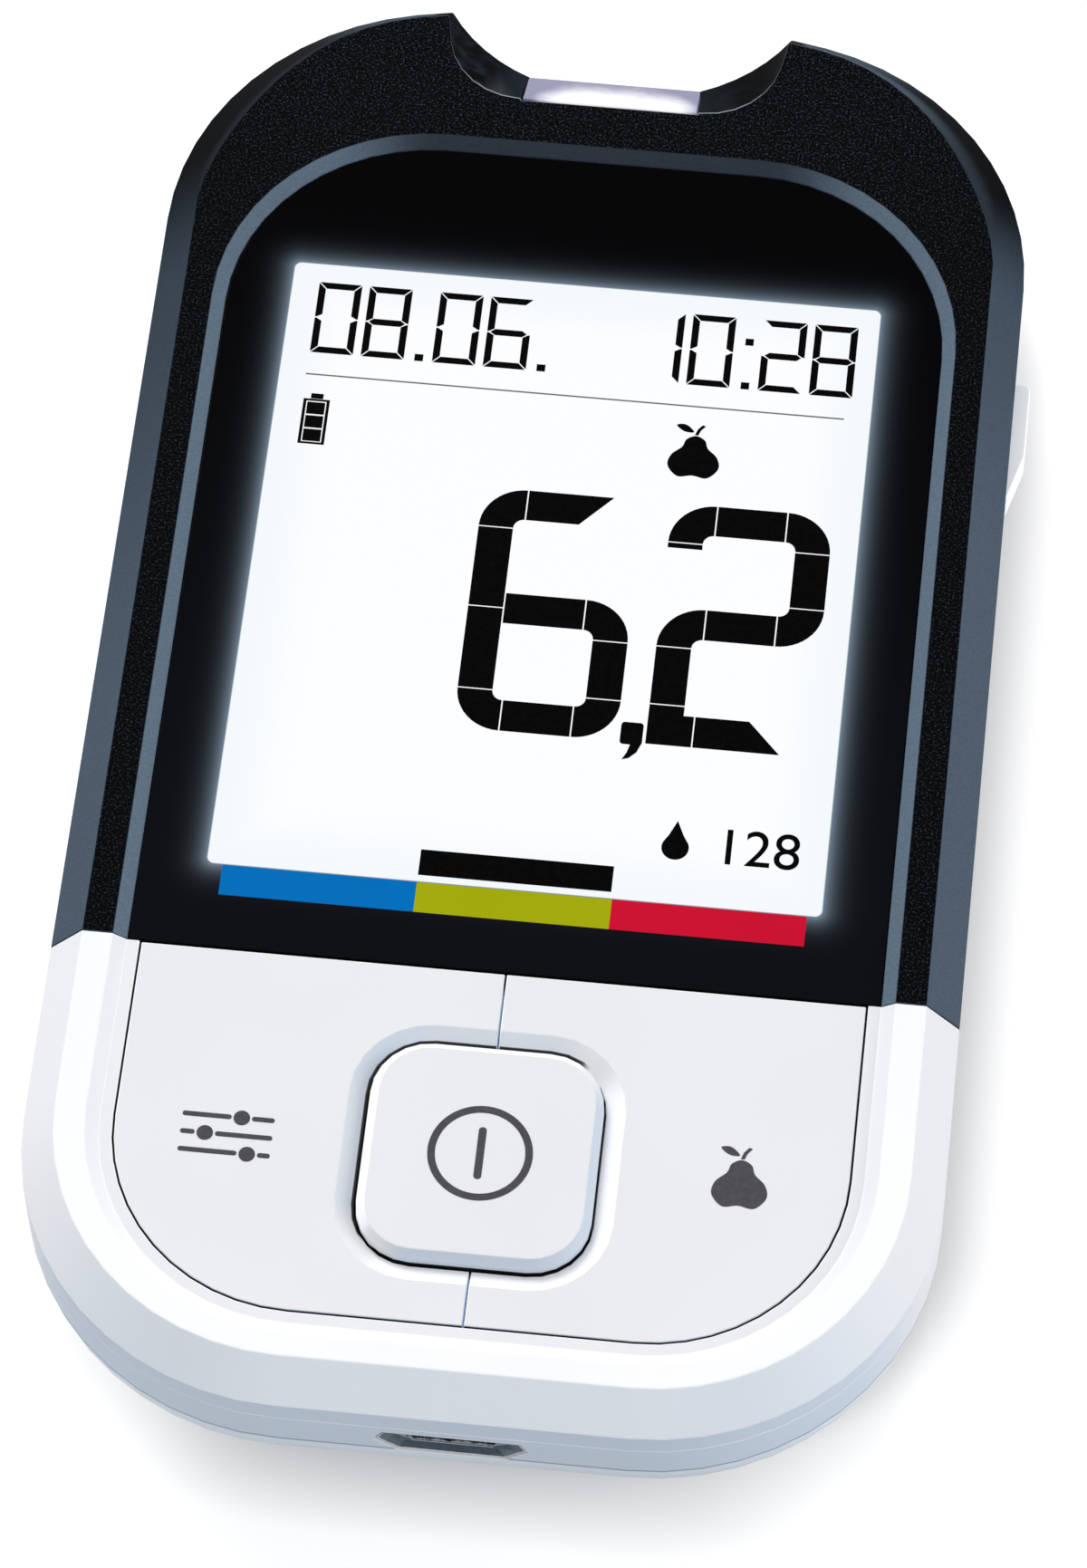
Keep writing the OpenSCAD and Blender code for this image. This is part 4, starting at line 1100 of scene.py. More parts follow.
def smooth(points: Loop, steps: int = 6) -> Loop:
    """Returns a closed smooth outline through the given points.

    Args:
        points: Points on the outline, in order.
        steps: Chords between two points.

    Returns:
        The smooth outline.
    """
    loop = []
    count = len(points)
    for i in range(count):
        near = [points[(i + step) % count] for step in (-1, 0, 1, 2)]
        for k in range(steps):
            t = k / steps
            weights = (
                -0.5 * t + t * t - 0.5 * t**3,
                1 - 2.5 * t * t + 1.5 * t**3,
                0.5 * t + 2 * t * t - 1.5 * t**3,
                -0.5 * t * t + 0.5 * t**3,
            )
            x, y = (sum(w * p[axis] for w, p in zip(weights, near)) for axis in (0, 1))
            loop.append((x, y))
    return loop


def moved(loops: list[Loop], dx: float, dy: float, size: float = 1.0) -> list[Loop]:
    """Returns outlines scaled about the origin and then moved."""
    return [[(x * size + dx, y * size + dy) for x, y in loop] for loop in loops]


def mirrored(points: Loop, width: float = 0.0) -> Loop:
    """Returns points mirrored across the middle of a width that starts at 0."""
    return [(width - x, y) for x, y in points]


def pear(height: float) -> list[Loop]:
    """Builds a pear with a stem and a leaf, centred on x, standing on y 0.

    Args:
        height: Height of the fruit with its stem.

    Returns:
        The outlines.
    """
    side = [(0.24, 0.0), (0.41, 0.19), (0.37, 0.4), (0.21, 0.56), (0.15, 0.71)]
    fruit = smooth([(0.0, 0.03), *side, (0.0, 0.785), *mirrored(side[::-1])])
    stem = [(-0.025, 0.8), (0.03, 0.8), (0.07, 0.9), (0.14, 0.985), (0.085, 1.0), (0.015, 0.915)]
    leaf = smooth([(-0.04, 0.86), (-0.2, 0.86), (-0.33, 0.97), (-0.18, 0.99)], 5)
    return moved([fruit, stem, leaf], 0, 0, height)


def droplet(height: float) -> list[Loop]:
    """Returns a droplet, centred on x, standing on y 0."""
    belly = arc((0.0, 0.31), 0.31, -205, 25, 20)
    return moved([belly + [(0.17, 0.62), (0.0, 1.0), (-0.17, 0.62)]], 0, 0, height)


class Segment(Enum):
    """Segments of a seven-segment figure."""

    TOP = "top"
    UPPER_LEFT = "upper left"
    UPPER_RIGHT = "upper right"
    MIDDLE = "middle"
    LOWER_LEFT = "lower left"
    LOWER_RIGHT = "lower right"
    BOTTOM = "bottom"


FIGURES: dict[str, set[Segment]] = {
    "0": set(Segment) - {Segment.MIDDLE},
    "1": {Segment.UPPER_RIGHT, Segment.LOWER_RIGHT},
    "2": set(Segment) - {Segment.UPPER_LEFT, Segment.LOWER_RIGHT},
    "6": set(Segment) - {Segment.UPPER_RIGHT},
    "8": set(Segment),
}


@dataclass(frozen=True)
class SmallFigures:
    """Small seven-segment figures with mitred ends and hairline gaps."""

    width: float = 2.78
    height: float = 5.4
    stroke: float = 0.46
    gap: float = 0.055
    space: float = 0.5
    dot: float = 0.52
    dot_x: Range = (0.18, 0.74)
    colon_x: Range = (0.22, 0.76)
    colon_rise: float = 3.35
    sign_step: float = 1.32

    def figure(self, figure: str, x: float, y: float) -> list[Loop]:
        """Builds the lit segments of a figure.

        Args:
            figure: The figure to show.
            x: Left edge.
            y: Lower edge.

        Returns:
            One outline for each lit segment.
        """
        gap, stroke, height, half = self.gap, self.stroke, self.height, self.stroke / 2
        middle, right = height / 2, self.width - self.stroke - gap
        notch = half + gap * 0.6
        upper = [(0, height - gap), (stroke, height - stroke - gap), (stroke, middle + notch)]
        upper += [(half * 0.5, middle + gap), (0, middle + gap)]
        lower = [(0, gap), (0, middle - gap), (half * 0.5, middle - gap)]
        lower += [(stroke, middle - notch), (stroke, stroke + gap)]
        edge, low, tip = self.width - gap, height - stroke, gap + half * 0.7
        shapes = {
            Segment.TOP: [(gap, height), (edge, height), (right, low), (stroke + gap, low)],
            Segment.BOTTOM: [(stroke + gap, stroke), (right, stroke), (edge, 0), (gap, 0)],
            Segment.MIDDLE: [(tip, middle), (stroke + gap, middle + half), (right, middle + half)]
            + [(self.width - tip, middle), (right, middle - half), (stroke + gap, middle - half)],
            Segment.UPPER_LEFT: upper,
            Segment.UPPER_RIGHT: mirrored(upper, self.width),
            Segment.LOWER_LEFT: lower,
            Segment.LOWER_RIGHT: mirrored(lower, self.width),
        }
        return moved([shapes[part] for part in Segment if part in FIGURES[figure]], x, y)

    def row(self, text: str, x: float, y: float) -> list[Loop]:
        """Builds a row of figures; a dot or colon is squeezed between two of them.

        Args:
            text: Figures, dots and colons.
            x: Left edge.
            y: Lower edge.

        Returns:
            The outlines of the row.
        """
        loops = []
        for sign in text:
            if sign in ".:":
                low, high = self.dot_x if sign == "." else self.colon_x
                for rise in (0.0,) if sign == "." else (0.0, self.colon_rise):
                    loops.append(rectangle(x + low, x + high, y + rise, y + rise + self.dot))
                x += self.sign_step
            else:
                width = self.stroke if sign == "1" else self.width
                loops += self.figure(sign, x - self.width + width, y)
                x += width + self.space
        return loops


@dataclass(frozen=True)
class LargeFigure:
    """A large rounded figure built of bars and quarter rings with hairline gaps."""

    x: float
    y: float
    width: float = 10.25
    height: float = 17.7
    stroke: float = 2.2
    middle: float = 8.9
    outer: float = 2.85
    gap: float = 0.085
    slant: Range = (6.3, 8.35)
    hook: float = 0.45

    def across(self, y: float) -> Loop:
        """Returns a bar between two quarter rings, clear of both."""
        turn = self.outer + self.gap
        return rectangle(turn, self.width - self.outer - self.gap, y, y + self.stroke)

    def upright(self, right: bool, y0: float, y1: float) -> Loop:
        """Returns an upright bar on the left or right side, between two heights."""
        x = self.width - self.stroke if right else 0.0
        return rectangle(x, x + self.stroke, y0, y1)

    def corner(self, right: bool, up: bool, y: float) -> Loop:
        """Builds the quarter ring in one corner of a loop.

        Args:
            right: True on the figure's right side.
            up: True if it turns into a bar at its top.
            y: Outer height of that bar's edge.

        Returns:
            The quarter ring's outline.
        """
        x = self.width - self.outer if right else self.outer
        centre = (x, y - self.outer if up else y + self.outer)
        start = (0 if right else 90) if up else (270 if right else 180)
        inner = self.outer - self.stroke
        end = start + 90
        return arc(centre, self.outer, start, end, 12) + arc(centre, inner, end, start, 8)

    def six(self) -> list[Loop]:
        """Builds a six.

        Returns:
            Its outlines.
        """
        high, mid, half, gap = self.height, self.middle, self.stroke / 2, self.gap
        turn, under = self.outer + gap, self.height - self.stroke
        start, end = self.slant
        loops = [
            self.corner(False, True, high),
            [(turn, under), (start, under), (end, high), (turn, high)],
            self.upright(False, mid + gap * 0.5, high - turn),
            self.upright(False, turn, mid - gap * 0.5),
            self.corner(False, False, 0.0),
            self.across(0.0),
            self.corner(True, False, 0.0),
            self.upright(True, turn, mid + half - turn),
            self.corner(True, True, mid + half),
            rectangle(self.stroke + gap, self.width - turn, mid - half, mid + half),
        ]
        return moved(loops, self.x, self.y)

    def two(self) -> list[Loop]:
        """Builds a two.

        Returns:
            Its outlines.
        """
        high, mid, half, stroke = self.height, self.middle, self.stroke / 2, self.stroke
        turn, outer = self.outer + self.gap, self.outer
        end, start = self.slant
        heel = [(0.0, 0.0), (outer, 0.0), (outer, stroke), (stroke, stroke), (stroke, outer)]
        loops = [
            self.upright(False, high - outer - self.hook, high - turn),
            self.corner(False, True, high),
            self.across(high - stroke),
            self.corner(True, True, high),
            self.upright(True, mid - half + turn, high - turn),
            self.corner(True, False, mid - half),
            self.across(mid - half),
            self.corner(False, True, mid + half),
            self.upright(False, turn, mid + half - turn),
            heel + [(0.0, outer)],
            [(turn, 0.0), (start, 0.0), (end, stroke), (turn, stroke)],
        ]
        return moved(loops, self.x, self.y)


# ---- Sub-assemblies ----


@dataclass
class Studio:
    """Pale floor, soft lamps and the camera."""

    floor_size: float = 5.0
    floor_white: Colour = (0.5, 0.5, 0.5, 1.0)
    floor_lift: float = 0.635
    contact_reach: float = 7.2
    shadow_half: Range = (26.0, 44.0)
    shadow_shift: Range = (1.2, 5.0)
    shadow_corner: float = 12.5
    shadow_reach: float = 4.8
    shadow_depth: float = 0.66
    film_width: float = 36.0
    focal_share: float = 7805.4484
    image: tuple[int, int] = (1200, 1731)
    sight: Range = (0.01, 50.0)
    tilt: float = 1.05115856
    yaw: float = -0.118981932
    roll: float = -0.0152782782
    unit: float = 19.0
    away: Triple = (0.0264444693, -0.673992780, 23.4354040)
    aim: Triple = (0.0, 6.45, 20.37)
    white: Colour = (1.0, 1.0, 1.0, 1.0)
    horizon: Colour = shade(90, 110, 136)
    sky: Colour = shade(236, 237, 240)
    zenith: Colour = shade(177, 179, 183)
    daylight_strength: float = 0.79
    lamps: tuple[tuple[str, Triple, float, float], ...] = (
        ("lamp_upper_left", (-0.44, 0.59, 0.52), 0.4, 4.5),
        ("lamp_right", (0.75, -0.1, 0.4), 0.5, 3.3),
        ("lamp_near", (-0.62, -0.62, 0.3), 0.5, 0.8),
    )

    def camera(self) -> None:
        """Sets up the camera at the meter's viewing angle."""
        spin = Matrix.Rotation(self.yaw, 3, "Z")
        sine, cosine = math.sin(self.tilt), math.cos(self.tilt)
        lean = Matrix(((1, 0, 0), (0, -sine, -cosine), (0, cosine, -sine)))
        turn = Matrix.Rotation(self.roll, 3, "Z") @ lean @ spin
        data = bpy.data.cameras.new("camera")
        data.sensor_fit = "AUTO"
        data.sensor_width = self.film_width
        data.lens = self.focal_share * data.sensor_width / max(self.image)
        data.clip_start, data.clip_end = self.sight
        camera = bpy.data.objects.new("camera", data)
        bpy.context.scene.collection.objects.link(camera)
        place = Vector(self.aim) - self.unit * (turn.transposed() @ Vector(self.away))
        axes = Matrix((turn[0], -turn[1], -turn[2])).transposed()
        camera.matrix_world = Matrix.Translation(place * MM) @ axes.to_4x4()
        bpy.context.scene.camera = camera

    def floor(self) -> None:
        """Lays the floor: white where it is clear, darkened by ambient occlusion near the meter and
        by a painted soft shadow under and beside it.
        """
        bpy.ops.object.select_all(action="DESELECT")
        bpy.ops.mesh.primitive_plane_add(size=self.floor_size)
        ground = bpy.context.object
        ground.name = "floor"
        material = bpy.data.materials.new("floor_paper")
        material.use_nodes = True
        graph = Graph(material.node_tree)
        matt = graph.node("BsdfDiffuse", {"Color": self.floor_white})
        reach = {"Distance": self.contact_reach * MM}
        contact = graph.node("AmbientOcclusion", reach, "AO", samples=8)
        tone = graph.mix(contact * self._shadow(graph), BLACK, self.white)
        lift = graph.node("Emission", {"Color": tone, "Strength": self.floor_lift})
        lifted = graph.node("AddShader", {0: matt, 1: lift})
        shown = graph.node("MixShader", {0: self._seen(graph), 1: matt, 2: lifted})
        graph.node("OutputMaterial", {"Surface": shown})
        ground.data.materials.append(material)

    def _shadow(self, graph: Graph) -> Signal:
        """Builds the painted shadow: the share of light left on the floor, less under and just
        beside the meter.

        Args:
            graph: The floor's graph.

        Returns:
            The share, 1 where the floor is clear.
        """
        x, y, _ = graph.spot()
        shift_x, shift_y = self.shadow_shift
        away = outside(x - shift_x, y - shift_y, self.shadow_half, self.shadow_corner)
        return away.ease(0.0, self.shadow_reach, 1.0 - self.shadow_depth, 1.0)

    @staticmethod
    def _seen(graph: Graph) -> Signal:
        """Builds the test for rays that show the background directly, in a mirror or glass.

        Args:
            graph: The graph that asks.

        Returns:
            1 for such a ray, 0 for light on the meter.
        """
        first = graph.node("LightPath", output="Is Camera Ray")
        outputs = first.socket.node.outputs
        mirrored_ray = Signal(graph, outputs["Is Glossy Ray"])
        through = Signal(graph, outputs["Is Transmission Ray"])
        return first.most(mirrored_ray).most(through)

    def daylight(self) -> None:
        """Fills the room with light that is cooler and weaker near the horizon."""
        world = bpy.data.worlds.new("studio")
        bpy.context.scene.world = world
        world.use_nodes = True
        graph = Graph(world.node_tree)
        _, y, z = graph.parts(graph.node("TexCoord", output="Generated"))
        around = graph.mix((z + y * 0.15).ease(-0.3, 0.4), self.horizon, self.sky)
        tone = graph.mix(z.ease(0.5, 1.0) * 0.4, around, self.zenith)
        soft = graph.node("Background", {"Color": tone, "Strength": self.daylight_strength})
        white = graph.node("Background", {"Color": self.white, "Strength": 1.0})
        seen = graph.node("LightPath", output="Is Camera Ray")
        shown = graph.node("MixShader", {0: seen, 1: soft, 2: white})
        graph.node("OutputWorld", {"Surface": shown})

    @staticmethod
    def lamp(name: str, place: Triple, size: float, power: float) -> None:
        """Hangs a soft square lamp that points at the meter.

        Args:
            name: Name of the lamp.
            place: Where it hangs, in metres.
            size: Side of its square in metres.
            power: Its power in watts.
        """
        data = bpy.data.lights.new(name, "AREA")
        data.size = size
        data.energy = power
        lamp = bpy.data.objects.new(name, data)
        bpy.context.scene.collection.objects.link(lamp)
        lamp.location = place
        lamp.rotation_mode = "QUATERNION"
        lamp.rotation_quaternion = (-Vector(place)).to_track_quat("-Z", "Y")

    def build(self) -> None:
        """Sets up the whole studio."""
        self.camera()
        self.floor()
        self.daylight()
        for lamp in self.lamps:
            self.lamp(*lamp)
        bpy.context.scene.view_settings.view_transform = "Standard"
        log.info("studio ready")


@dataclass
class Housing:
    """The two front covers, the back shell, its screws, the battery door and the ejector."""

    edge: float = 0.09
    tab_edge: float = 0.12
    screw_edge: float = 0.08
    head_height: float = 0.3
    arrow_tip: float = -28.4
    arrow_length: float = 5.2
    arrow_width: float = 6.0
    shaft_width: float = 2.4
    arrow_depth: float = 0.3
    recess_length: float = 2.3
    recess_width: float = 0.5
    recess_depth: float = 0.7
    tab_white: Colour = shade(254, 254, 254)
    tab_tint: Colour = shade(250, 251, 252)
    tab_painted_glow: Colour = shade(84, 90, 97)

    def arrow(self) -> Loop:
        """Builds the door's arrow, which points towards the near end.

        Returns:
            Its outline.
        """
        neck = self.arrow_tip + self.arrow_length * 0.55
        tail = self.arrow_tip + self.arrow_length * 1.6
        head, shaft = self.arrow_width / 2, self.shaft_width / 2
        right = [(0.0, self.arrow_tip), (head, neck), (shaft, neck), (shaft, tail)]
        return right + mirrored(right[:0:-1])

    def door(self) -> Piece:
        """Builds the sliding door with its sunk arrow.

        Returns:
            The door.
        """
        door = refined("battery_door", "sliding_door", self.edge)
        low = min(point.co.z for point in door.data.vertices) / MM
        engrave(door, "arrow_cutter", self.arrow(), low, self.arrow_depth)
        round_edges(door, 0.0)
        return door

    def screws(self) -> Piece:
        """Builds the screws with a cross recess in each head.

        Returns:
            The four screws.
        """
        screws = refined("housing_screws", "cross_head_screws", self.screw_edge)
        points = [point.co / MM for point in screws.data.vertices]
        half, thin = self.recess_length / 2, self.recess_width / 2
        for side, end in ((-1, -1), (-1, 1), (1, -1), (1, 1)):
            here = [p for p in points if p.x * side > 0 and p.y * end > 0]
            low = min(p.z for p in here)
            head = [p for p in here if p.z < low + self.head_height]
            x = (min(p.x for p in head) + max(p.x for p in head)) / 2
            y = (min(p.y for p in head) + max(p.y for p in head)) / 2
            for across, along in ((half, thin), (thin, half)):
                bar = rectangle(x - across, x + across, y - along, y + along)
                engrave(screws, "recess_cutter", bar, low, self.recess_depth)
        round_edges(screws, 0.0)
        return screws

    def build(self) -> None:
        """Builds the covers, the door, the ejector's tab and the screws."""
        dark, light = DarkHousing("dark_housing"), LightHousing("light_housing")
        for node, name, finish in (
            ("upper_front_cover", "dark_cover", dark),
            ("lower_front_cover", "light_cover", light),
            ("rear_cover", "back_shell", light),
        ):
            fit(refined(node, name, self.edge), "housing", finish, finish.name, node)
        fit(self.door(), "door", light, "light_housing", "battery_door")
        # Painted light: the tab's plastic glows a little to lift it out of the body's shade, and it
        # leaves out the side tints of painted shade.
        pale = LightHousing(
            "ejector_plastic",
            self.tab_white,
            self.tab_tint,
            side=self.tab_white,
            right_side_shade=self.tab_white,
            through=self.tab_painted_glow,
        )
        tab = refined("ejector_slider", "ejector_tab", self.tab_edge)
        fit(tab, "ejector", pale, "light_housing", "ejector_slider")
        steel = plain(
            "screw_steel", (150, 153, 158), (128, 131, 136), Texture.BRUSHED, 0.1, 0.01, 0.32, 1.0
        )
        fit(self.screws(), "housing", steel, "screw_steel", "housing_screws")


@dataclass
class Display:
    """The lens, its lit window and everything that the window shows."""

    top: float = 20.37
    sunk: float = 0.01
    film: float = 0.03
    edge: float = 0.06
    middle_y: float = 6.45
    ink: Ink = Ink("segment_black")
    rule_ink: Ink = Ink("rule_grey", shade(95, 97, 100), shade(105, 107, 110))
    scale_y: Range = (-24.5, -22.42)
    scale: tuple[tuple[str, Colour, float, float], ...] = (
        ("range_low", shade(0, 112, 190), -18.0, -5.95),
        ("range_middle", shade(165, 172, 8), -5.95, 6.1),
        ("range_high", shade(205, 17, 50), 6.1, 18.1),
    )
    count_place: Point = (17.4, -19.25)
    count_size: float = 3.6
    droplet_x: float = 9.6
    droplet_height: float = 2.75

    def line(
        self, name: str, loops: list[Loop], finish: Finish, slot: str = "display_glass"
    ) -> None:
        """Lays one shown line of figures or signs on the window.

        Args:
            name: Name of the piece.
            loops: Outlines about the window's middle.
            finish: Its finish.
            slot: Its material slot.
        """
        shown = flat_piece(name, moved(loops, 0.0, self.middle_y), self.top - self.sunk, self.film)
        fit(shown, "housing", finish, slot)

    def battery_sign(self) -> list[Loop]:
        """Builds the battery sign: a case, a cap and three bars.

        Returns:
            Its outlines.
        """
        case = [rectangle(-17.2, -15.5, 8.6, 12.0), rectangle(-17.0, -15.7, 8.75, 11.85)]
        cap = rectangle(-16.75, -15.95, 12.03, 12.42)
        bars = [rectangle(-16.93, -15.77, 8.82 + i * 1.02, 9.72 + i * 1.02) for i in range(3)]
        return [*case, cap, *bars]

    def comma(self) -> Loop:
        """Builds the decimal comma.

        Returns:
            Its outline.
        """
        corner = 0.22
        left = arc((5.65, -10.0), corner, 90, 180, 4) + arc((5.65, -11.15), corner, 180, 270, 4)
        tail = [(6.1, -11.37), (5.95, -11.95), (5.68, -12.48)]
        tail += [(6.1, -12.35), (6.55, -11.9), (6.83, -11.2)]
        return left + tail + arc((6.61, -10.0), corner, 0, 90, 4)

    def count(self) -> None:
        """Lays the small plain number with its droplet at the window's lower right."""
        x, y = self.count_place
        bpy.ops.object.select_all(action="DESELECT")
        bpy.ops.object.text_add()
        number = bpy.context.object
        number.name = "count_figures"
        number.data.body = "128"
        number.data.align_x = "RIGHT"
        number.data.size = self.count_size * MM
        number.data.extrude = self.film * MM / 2
        bpy.ops.object.convert(target="MESH")
        number = bpy.context.object
        height = self.top + self.film / 2 - self.sunk
        number.location = (x * MM, (self.middle_y + y) * MM, height * MM)
        fit(settle(number), "housing", self.ink, "display_glass")
        drop = moved(droplet(self.droplet_height), self.droplet_x, y)
        self.line("count_droplet", drop, self.ink)

    def build(self) -> None:
        """Builds the lens and what it shows."""
        lens = refined("display_lens", "lit_lens", self.edge)
        fit(lens, "housing", LitLens("lens_gloss"), "lens_plastic", "display_lens")
        small, ink = SmallFigures(), self.ink
        for name, loops, finish in (
            ("date_figures", small.row("08.06.", -17.25, 15.55), ink),
            ("time_figures", small.row("10:28", 6.05, 15.5), ink),
            ("rule_line", [rectangle(-17.3, 17.3, 13.82, 13.92)], self.rule_ink),
            ("battery_sign", self.battery_sign(), ink),
            ("meal_sign", moved(pear(3.95), 8.05, 8.55), ink),
            ("reading_units", LargeFigure(-5.02, -11.2).six(), ink),
            ("reading_tenths", LargeFigure(7.03, -11.2).two(), ink),
            ("reading_comma", [self.comma()], ink),
            ("range_marker", [rectangle(-5.95, 6.0, -21.9, -20.1)], ink),
        ):
            self.line(name, loops, finish)
        for name, colour, x0, x1 in self.scale:
            self.line(name, [rectangle(x0, x1, *self.scale_y)], LitStripe(name, colour), "mask_ink")
        self.count()


@dataclass
class Keypad:
    """The three keys and the signs printed on them."""

    top: float = 20.37
    power_top: float = 20.92
    sunk: float = 0.005
    moat_z: float = 19.86
    film: float = 0.02
    edge: float = 0.07
    edge_angle: float = 20.0
    rails: tuple[tuple[float, float], ...] = ((-33.2, -14.6), (-34.4, -16.7), (-35.6, -14.0))
    rail_x: Range = (-18.2, -12.6)
    rail_half: float = 0.16
    knob: float = 0.5
    knob_space: float = 0.62
    ring_y: float = -34.37
    ring: Range = (3.18, 2.72)
    pear_place: Point = (15.7, -36.15)
    pear_height: float = 4.05
    grey: Ink = Ink("sign_grey", shade(74, 74, 77), shade(80, 80, 83))

    def sliders_sign(self) -> list[Loop]:
        """Builds the settings sign: three rails, each with a knob.

        Returns:
            Its outlines.
        """
        loops = []
        for y, knob in self.rails:
            low, high = y - self.rail_half, y + self.rail_half
            loops.append(rounded(self.rail_x[0], knob - self.knob_space, low, high, 0.15, 4))
            loops.append(rounded(knob + self.knob_space, self.rail_x[1], low, high, 0.15, 4))
            loops.append(circle((knob, y), self.knob, 28))
        return loops

    def power_sign(self) -> list[Loop]:
        """Returns the power sign: a ring round an upright bar."""
        ring = [circle((0, self.ring_y), radius, 96) for radius in self.ring]
        return [*ring, rounded(-0.24, 0.24, -36.12, -32.62, 0.23, 6)]

    def build(self) -> None:
        """Builds the keys and their signs."""
        side = KeyPlastic("key_plastic")
        raised = KeyPlastic("raised_key_plastic", gap_z=self.moat_z)
        for key, plastic in (("set_key", side), ("meal_key", side), ("power_key", raised)):
            button = refined(key, key.replace("_key", "_button"), self.edge, self.edge_angle)
            fit(button, key, plastic, "key_plastic", key)
        for name, loops, top, key in (
            ("set_sign", self.sliders_sign(), self.top, "set_key"),
            ("pear_sign", moved(pear(self.pear_height), *self.pear_place), self.top, "meal_key"),
            ("power_sign", self.power_sign(), self.power_top, "power_key"),
        ):
            sign = flat_piece(name, loops, top - self.sunk, self.film)
            fit(sign, key, self.grey, "key_plastic")


@dataclass
class Ports:
    """The lit strip port and the micro socket."""

    insert_edge: float = 0.06
    shell_edge: float = 0.04
    shell_curve: float = 14.0
    mouth_y: float = -50.85
    mouth_z: float = 14.8
    mouth_depth: float = 0.05
    rim: float = 0.13
    flare_depth: float = 0.42
    bore_half_width: float = 3.72
    bore_half_height: float = 0.8

    def flare(self, shell: Piece) -> None:
        """Sinks the inner part of the shell's flat mouth, so that it flares inside a thin rim.

        Args:
            shell: The shell, in edit mode.
        """
        select_where(shell, lambda at, way: way.y < -0.99 and self._on_mouth(at), True)
        bpy.ops.mesh.inset(thickness=self.rim * MM, use_boundary=True, use_even_offset=True)
        bpy.ops.mesh.delete(type="FACE")
        bpy.ops.mesh.select_mode(type="EDGE")
        bpy.ops.mesh.select_non_manifold(extend=False)
        bpy.ops.mesh.bridge_edge_loops()
        select_where(shell, lambda at, _: self._on_mouth(at) and self._near_bore(at), False)
        bpy.ops.transform.translate(value=(0, self.flare_depth * MM, 0))

    def _on_mouth(self, at: Vector) -> bool:
        """Tells whether a place lies on the mouth."""
        return at.y < self.mouth_y + self.mouth_depth

    def _near_bore(self, at: Vector) -> bool:
        """Tells whether a place lies at the bore or just round it."""
        high = abs(at.z - self.mouth_z)
        return abs(at.x) < self.bore_half_width and high < self.bore_half_height

    def build(self) -> None:
        """Builds the strip insert and the socket's shell."""
        insert = refined("strip_insert", "lit_insert", self.insert_edge)
        fit(insert, "housing", LitPort("port_milk"), "port_plastic", "strip_insert")
        edge, curve = self.shell_edge, self.shell_curve
        shell = refined("usb_shell", "socket_shell", edge, curve=curve, reshape=self.flare)
        fit(shell, "housing", SocketSteel("socket_steel"), "plated_steel", "usb_shell")


@dataclass
class Springs:
    """The snap domes under the keys and the ejector's spring."""

    board_z: float = 14.0
    dome_left: float = 0.2
    hook: float = 0.5

    def build(self) -> None:
        """Builds refined copies of the domes and of the ejector's spring."""
        for key in ("set", "meal", "power"):
            node = f"{key}_dome"
            dome = refined(node, f"{key}_snap_dome", 0.0)
            fit(dome, "housing", SPRING_STEEL, "spring_steel", node)
            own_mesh(dome)
        spring = refined("ejector_spring", "ejector_coil", 0.0)
        SPRING_STEEL.dress(spring)
        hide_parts("ejector_spring")
        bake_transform(spring)
        log.info("%s: stretches from housing to ejector", spring.name)


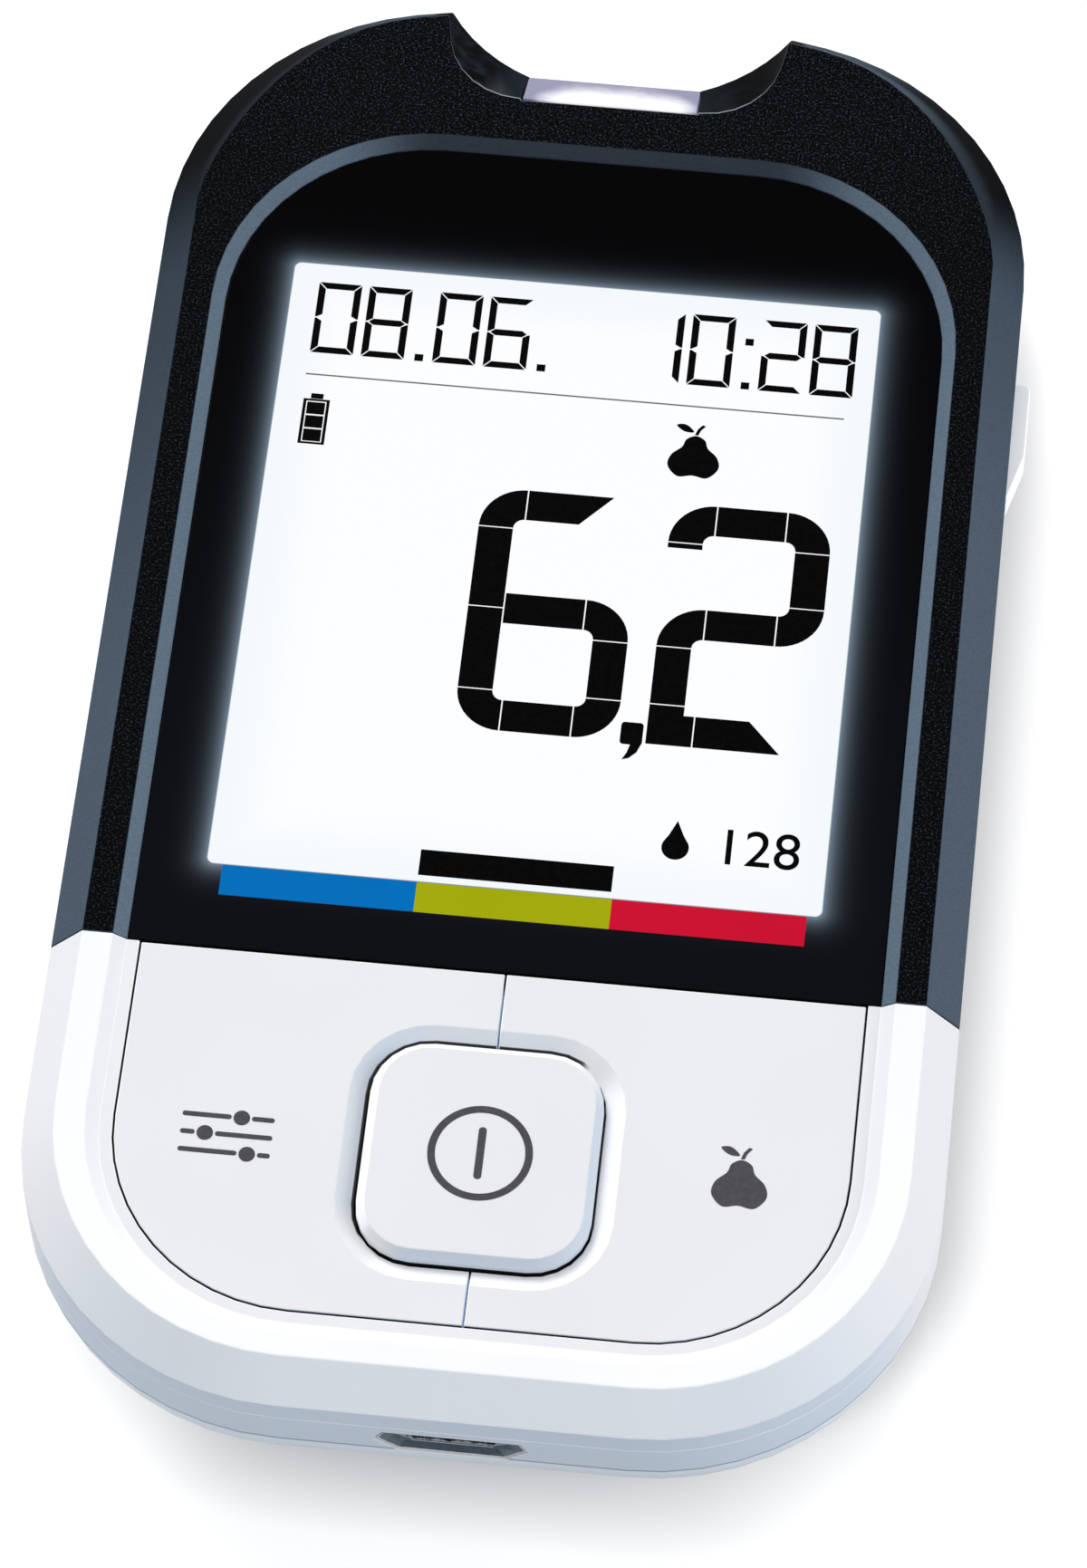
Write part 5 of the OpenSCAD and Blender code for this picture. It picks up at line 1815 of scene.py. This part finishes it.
@dataclass
class Inside:
    """Finishes of the solids that stay as they are, most of them inside the housing."""

    @staticmethod
    def finishes() -> dict[Plain, tuple[str, ...]]:
        """Lists the finishes, each with its colours, pattern, grain, depth, roughness and metal.

        Returns:
            The names of the solids that take each finish.
        """
        grain, brushed, tracks, bands, label = Texture
        dim, bright = {"specular": 0.5, "glow": 0.35}, {"specular": 0.5, "glow": 0.6}
        return {
            plain("mask_ink", (6, 6, 7), (10, 10, 12), grain, 0.3, 0.004, 0.5): ("lens_mask",),
            plain("tape", (24, 24, 26), (34, 34, 37), grain, 0.5, 0.01, 0.7): ("lens_tape",),
            plain(
                "display_glass", (214, 222, 230), (204, 214, 224), grain, 4.0, 0.002, 0.12, **dim
            ): ("lcd_glass",),
            plain("light_guide_plastic", (236, 240, 246), (222, 228, 238), bands, 0.4, 0.01, 0.2):
                ("light_guide",),
            plain("frame_plastic", (205, 207, 209), (196, 198, 201), grain, 0.25, 0.01, 0.5):
                ("display_frame", "key_frame"),
            plain("connector_rubber", (232, 150, 160), (40, 38, 40), bands, 0.09, 0.004, 0.6):
                ("zebra_strip",),
            plain("led_resin", (250, 246, 214), (244, 236, 180), grain, 0.4, 0.003, 0.25, **bright):
                ("backlight_leds", "strip_led"),
            SPRING_STEEL: ("battery_springs",),
            plain("plated_steel", (196, 200, 206), (170, 175, 182), brushed, 0.15, 0.01, 0.28, 1.0):
                ("bridge_contact", "positive_contact", "negative_contact"),
            plain("gold_plate", (222, 178, 92), (205, 158, 74), brushed, 0.15, 0.006, 0.26, 1.0):
                ("usb_contacts", "strip_contacts"),
            plain("board_laminate", (14, 50, 38), (22, 70, 52), tracks, 0.2, 0.02, 0.4):
                ("circuit_board",),
            plain("chip_resin", (30, 31, 33), (38, 39, 41), grain, 0.12, 0.012, 0.55):
                ("main_chip", "measuring_chip"),
            plain("crystal_can", (200, 202, 205), (180, 183, 187), brushed, 0.2, 0.006, 0.3, 1.0):
                ("clock_crystal",),
            plain("ceramic", (176, 148, 116), (160, 130, 98), grain, 0.15, 0.006, 0.5):
                ("capacitors",),
            plain("connector_plastic", (40, 40, 43), (50, 50, 54), grain, 0.2, 0.01, 0.5):
                ("buzzer", "usb_tongue", "strip_connector"),
            plain("cell_jacket", (44, 46, 52), (186, 128, 78), label, 0.2, 0.003, 0.3, 0.35):
                ("battery_cell_left", "battery_cell_right"),
        }

    def build(self) -> None:
        """Gives every remaining solid its finish."""
        for finish, nodes in self.finishes().items():
            for node in nodes:
                finish.dress(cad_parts[node])
            log.info("%s: %s", finish.name, ", ".join(nodes))


def main() -> None:
    """Builds the studio and every part of the meter."""
    logging.basicConfig(level=logging.INFO, format="%(name)s: %(message)s")
    for part in (Studio(), Housing(), Display(), Keypad(), Ports(), Springs(), Inside()):
        part.build()


if __name__ == "__main__":
    main()
